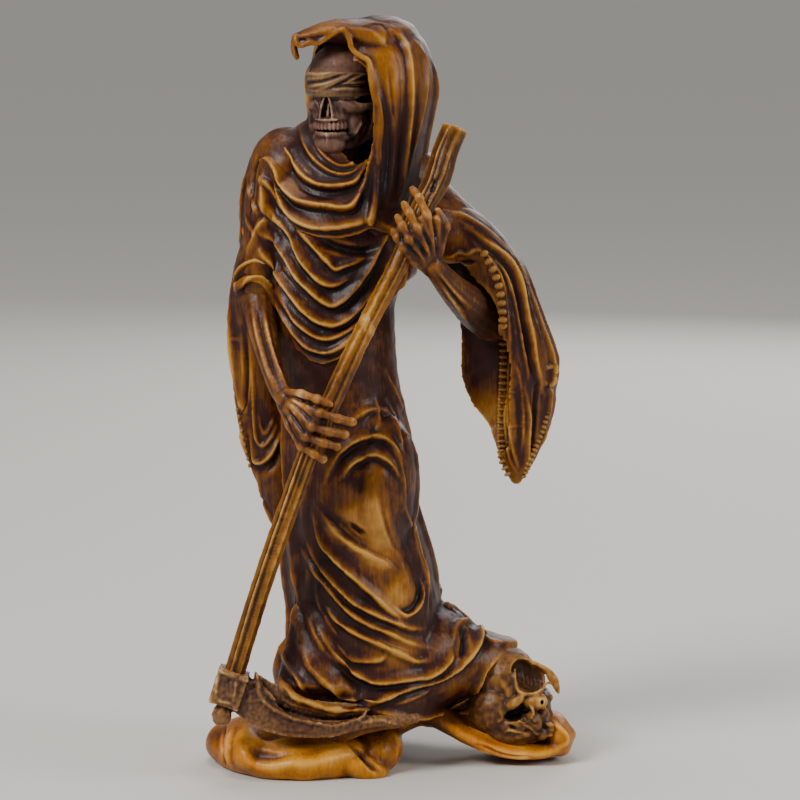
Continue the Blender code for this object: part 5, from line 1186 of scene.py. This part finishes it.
# Whipped rims: a string of beads down the lip of the great sleeve that turns into a ladder of
# stitches further down, and small stitches along the back edge of the left sleeve.
def trim_tree():
    """Geometry nodes that string beads along a path: how many, and how big across, out and along."""
    tree = bpy.data.node_groups.new("bead_trim", "GeometryNodeTree")
    tree.interface.new_socket("Path", in_out="INPUT", socket_type="NodeSocketGeometry")
    for name, kind, value in (("Count", "NodeSocketInt", 8), ("Across", "NodeSocketFloat", 0.001),
        ("Out", "NodeSocketFloat", 0.001), ("Along", "NodeSocketFloat", 0.001),
        ("Material", "NodeSocketMaterial", None)):
        socket = tree.interface.new_socket(name, in_out="INPUT", socket_type=kind)
        if value is not None:
            socket.default_value = value
    tree.interface.new_socket("Beads", in_out="OUTPUT", socket_type="NodeSocketGeometry")
    given = tree.nodes.new("NodeGroupInput").outputs
    line = node(tree, "GeometryNodeMeshToCurve", {"Mesh": given["Path"]}).outputs["Curve"]
    spots = node(tree, "GeometryNodeResampleCurve",
        {"Curve": line, "Count": given["Count"]}).outputs["Curve"]
    tangent = node(tree, "GeometryNodeInputTangent").outputs["Tangent"]
    turn = node(tree, "FunctionNodeAlignRotationToVector", {"Vector": tangent},
        axis="Z").outputs["Rotation"]
    turn = node(tree, "FunctionNodeAlignRotationToVector", {"Rotation": turn, "Vector": (0.0, -1.0, 0.0)},
        axis="Y", pivot_axis="Z").outputs["Rotation"]
    bead = node(tree, "GeometryNodeMeshUVSphere", {"Segments": 16, "Rings": 10,
        "Radius": 1.0}).outputs["Mesh"]
    size = node(tree, "ShaderNodeCombineXYZ", {"X": given["Across"], "Y": given["Out"],
        "Z": given["Along"]}).outputs["Vector"]
    row = node(tree, "GeometryNodeInstanceOnPoints",
        {"Points": spots, "Instance": bead, "Rotation": turn, "Scale": size}).outputs["Instances"]
    row = node(tree, "GeometryNodeRealizeInstances", {"Geometry": row}).outputs["Geometry"]
    row = node(tree, "GeometryNodeSetMaterial", {"Geometry": row,
        "Material": given["Material"]}).outputs["Geometry"]
    node(tree, "NodeGroupOutput", {"Beads": row})
    return tree


bead_trim = trim_tree()
bead_finish = boxwood("boxwood_beads", "#120605 #4a2a14 #8c5a1a #b8904c", rubbed=-0.1)


def trim(name, path, count, across, out, along, material):
    """Beads along a path of x, y, z in drawing millimetres."""
    points = (spline(path, 6) * MM).tolist()
    mesh = bpy.data.meshes.new(name)
    mesh.from_pydata(points, [(i, i + 1) for i in range(len(points) - 1)], [])
    obj = bpy.data.objects.new(name, mesh)
    bpy.context.scene.collection.objects.link(obj)
    beads = obj.modifiers.new("beads", "NODES")
    beads.node_group = bead_trim
    sizes = {"Count": count, "Across": across * MM, "Out": out * MM, "Along": along * MM,
        "Material": material}
    for item in bead_trim.interface.items_tree:
        if item.item_type == "SOCKET" and item.name in sizes:
            beads[item.identifier] = sizes[item.name]
    settle(obj)
    finish(obj, name, material, ease=0)


trim("rim_beads", RIM, 17, 1.2, 0.9, 0.92, bead_finish)
trim("rim_rungs", RUNGS[:-1], 22, 1.35, 0.8, 0.6, bead_finish)
trim("edge_stitches", EDGE, 16, 0.9, 0.7, 0.62, bead_finish)
trim("back_stitches", [(-40.6, -2, 96), (-39.6, -2, 91), (-38.6, -2, 86), (-37.4, -2, 81)], 9, 0.5, 0.5,
    0.6, bead_finish)
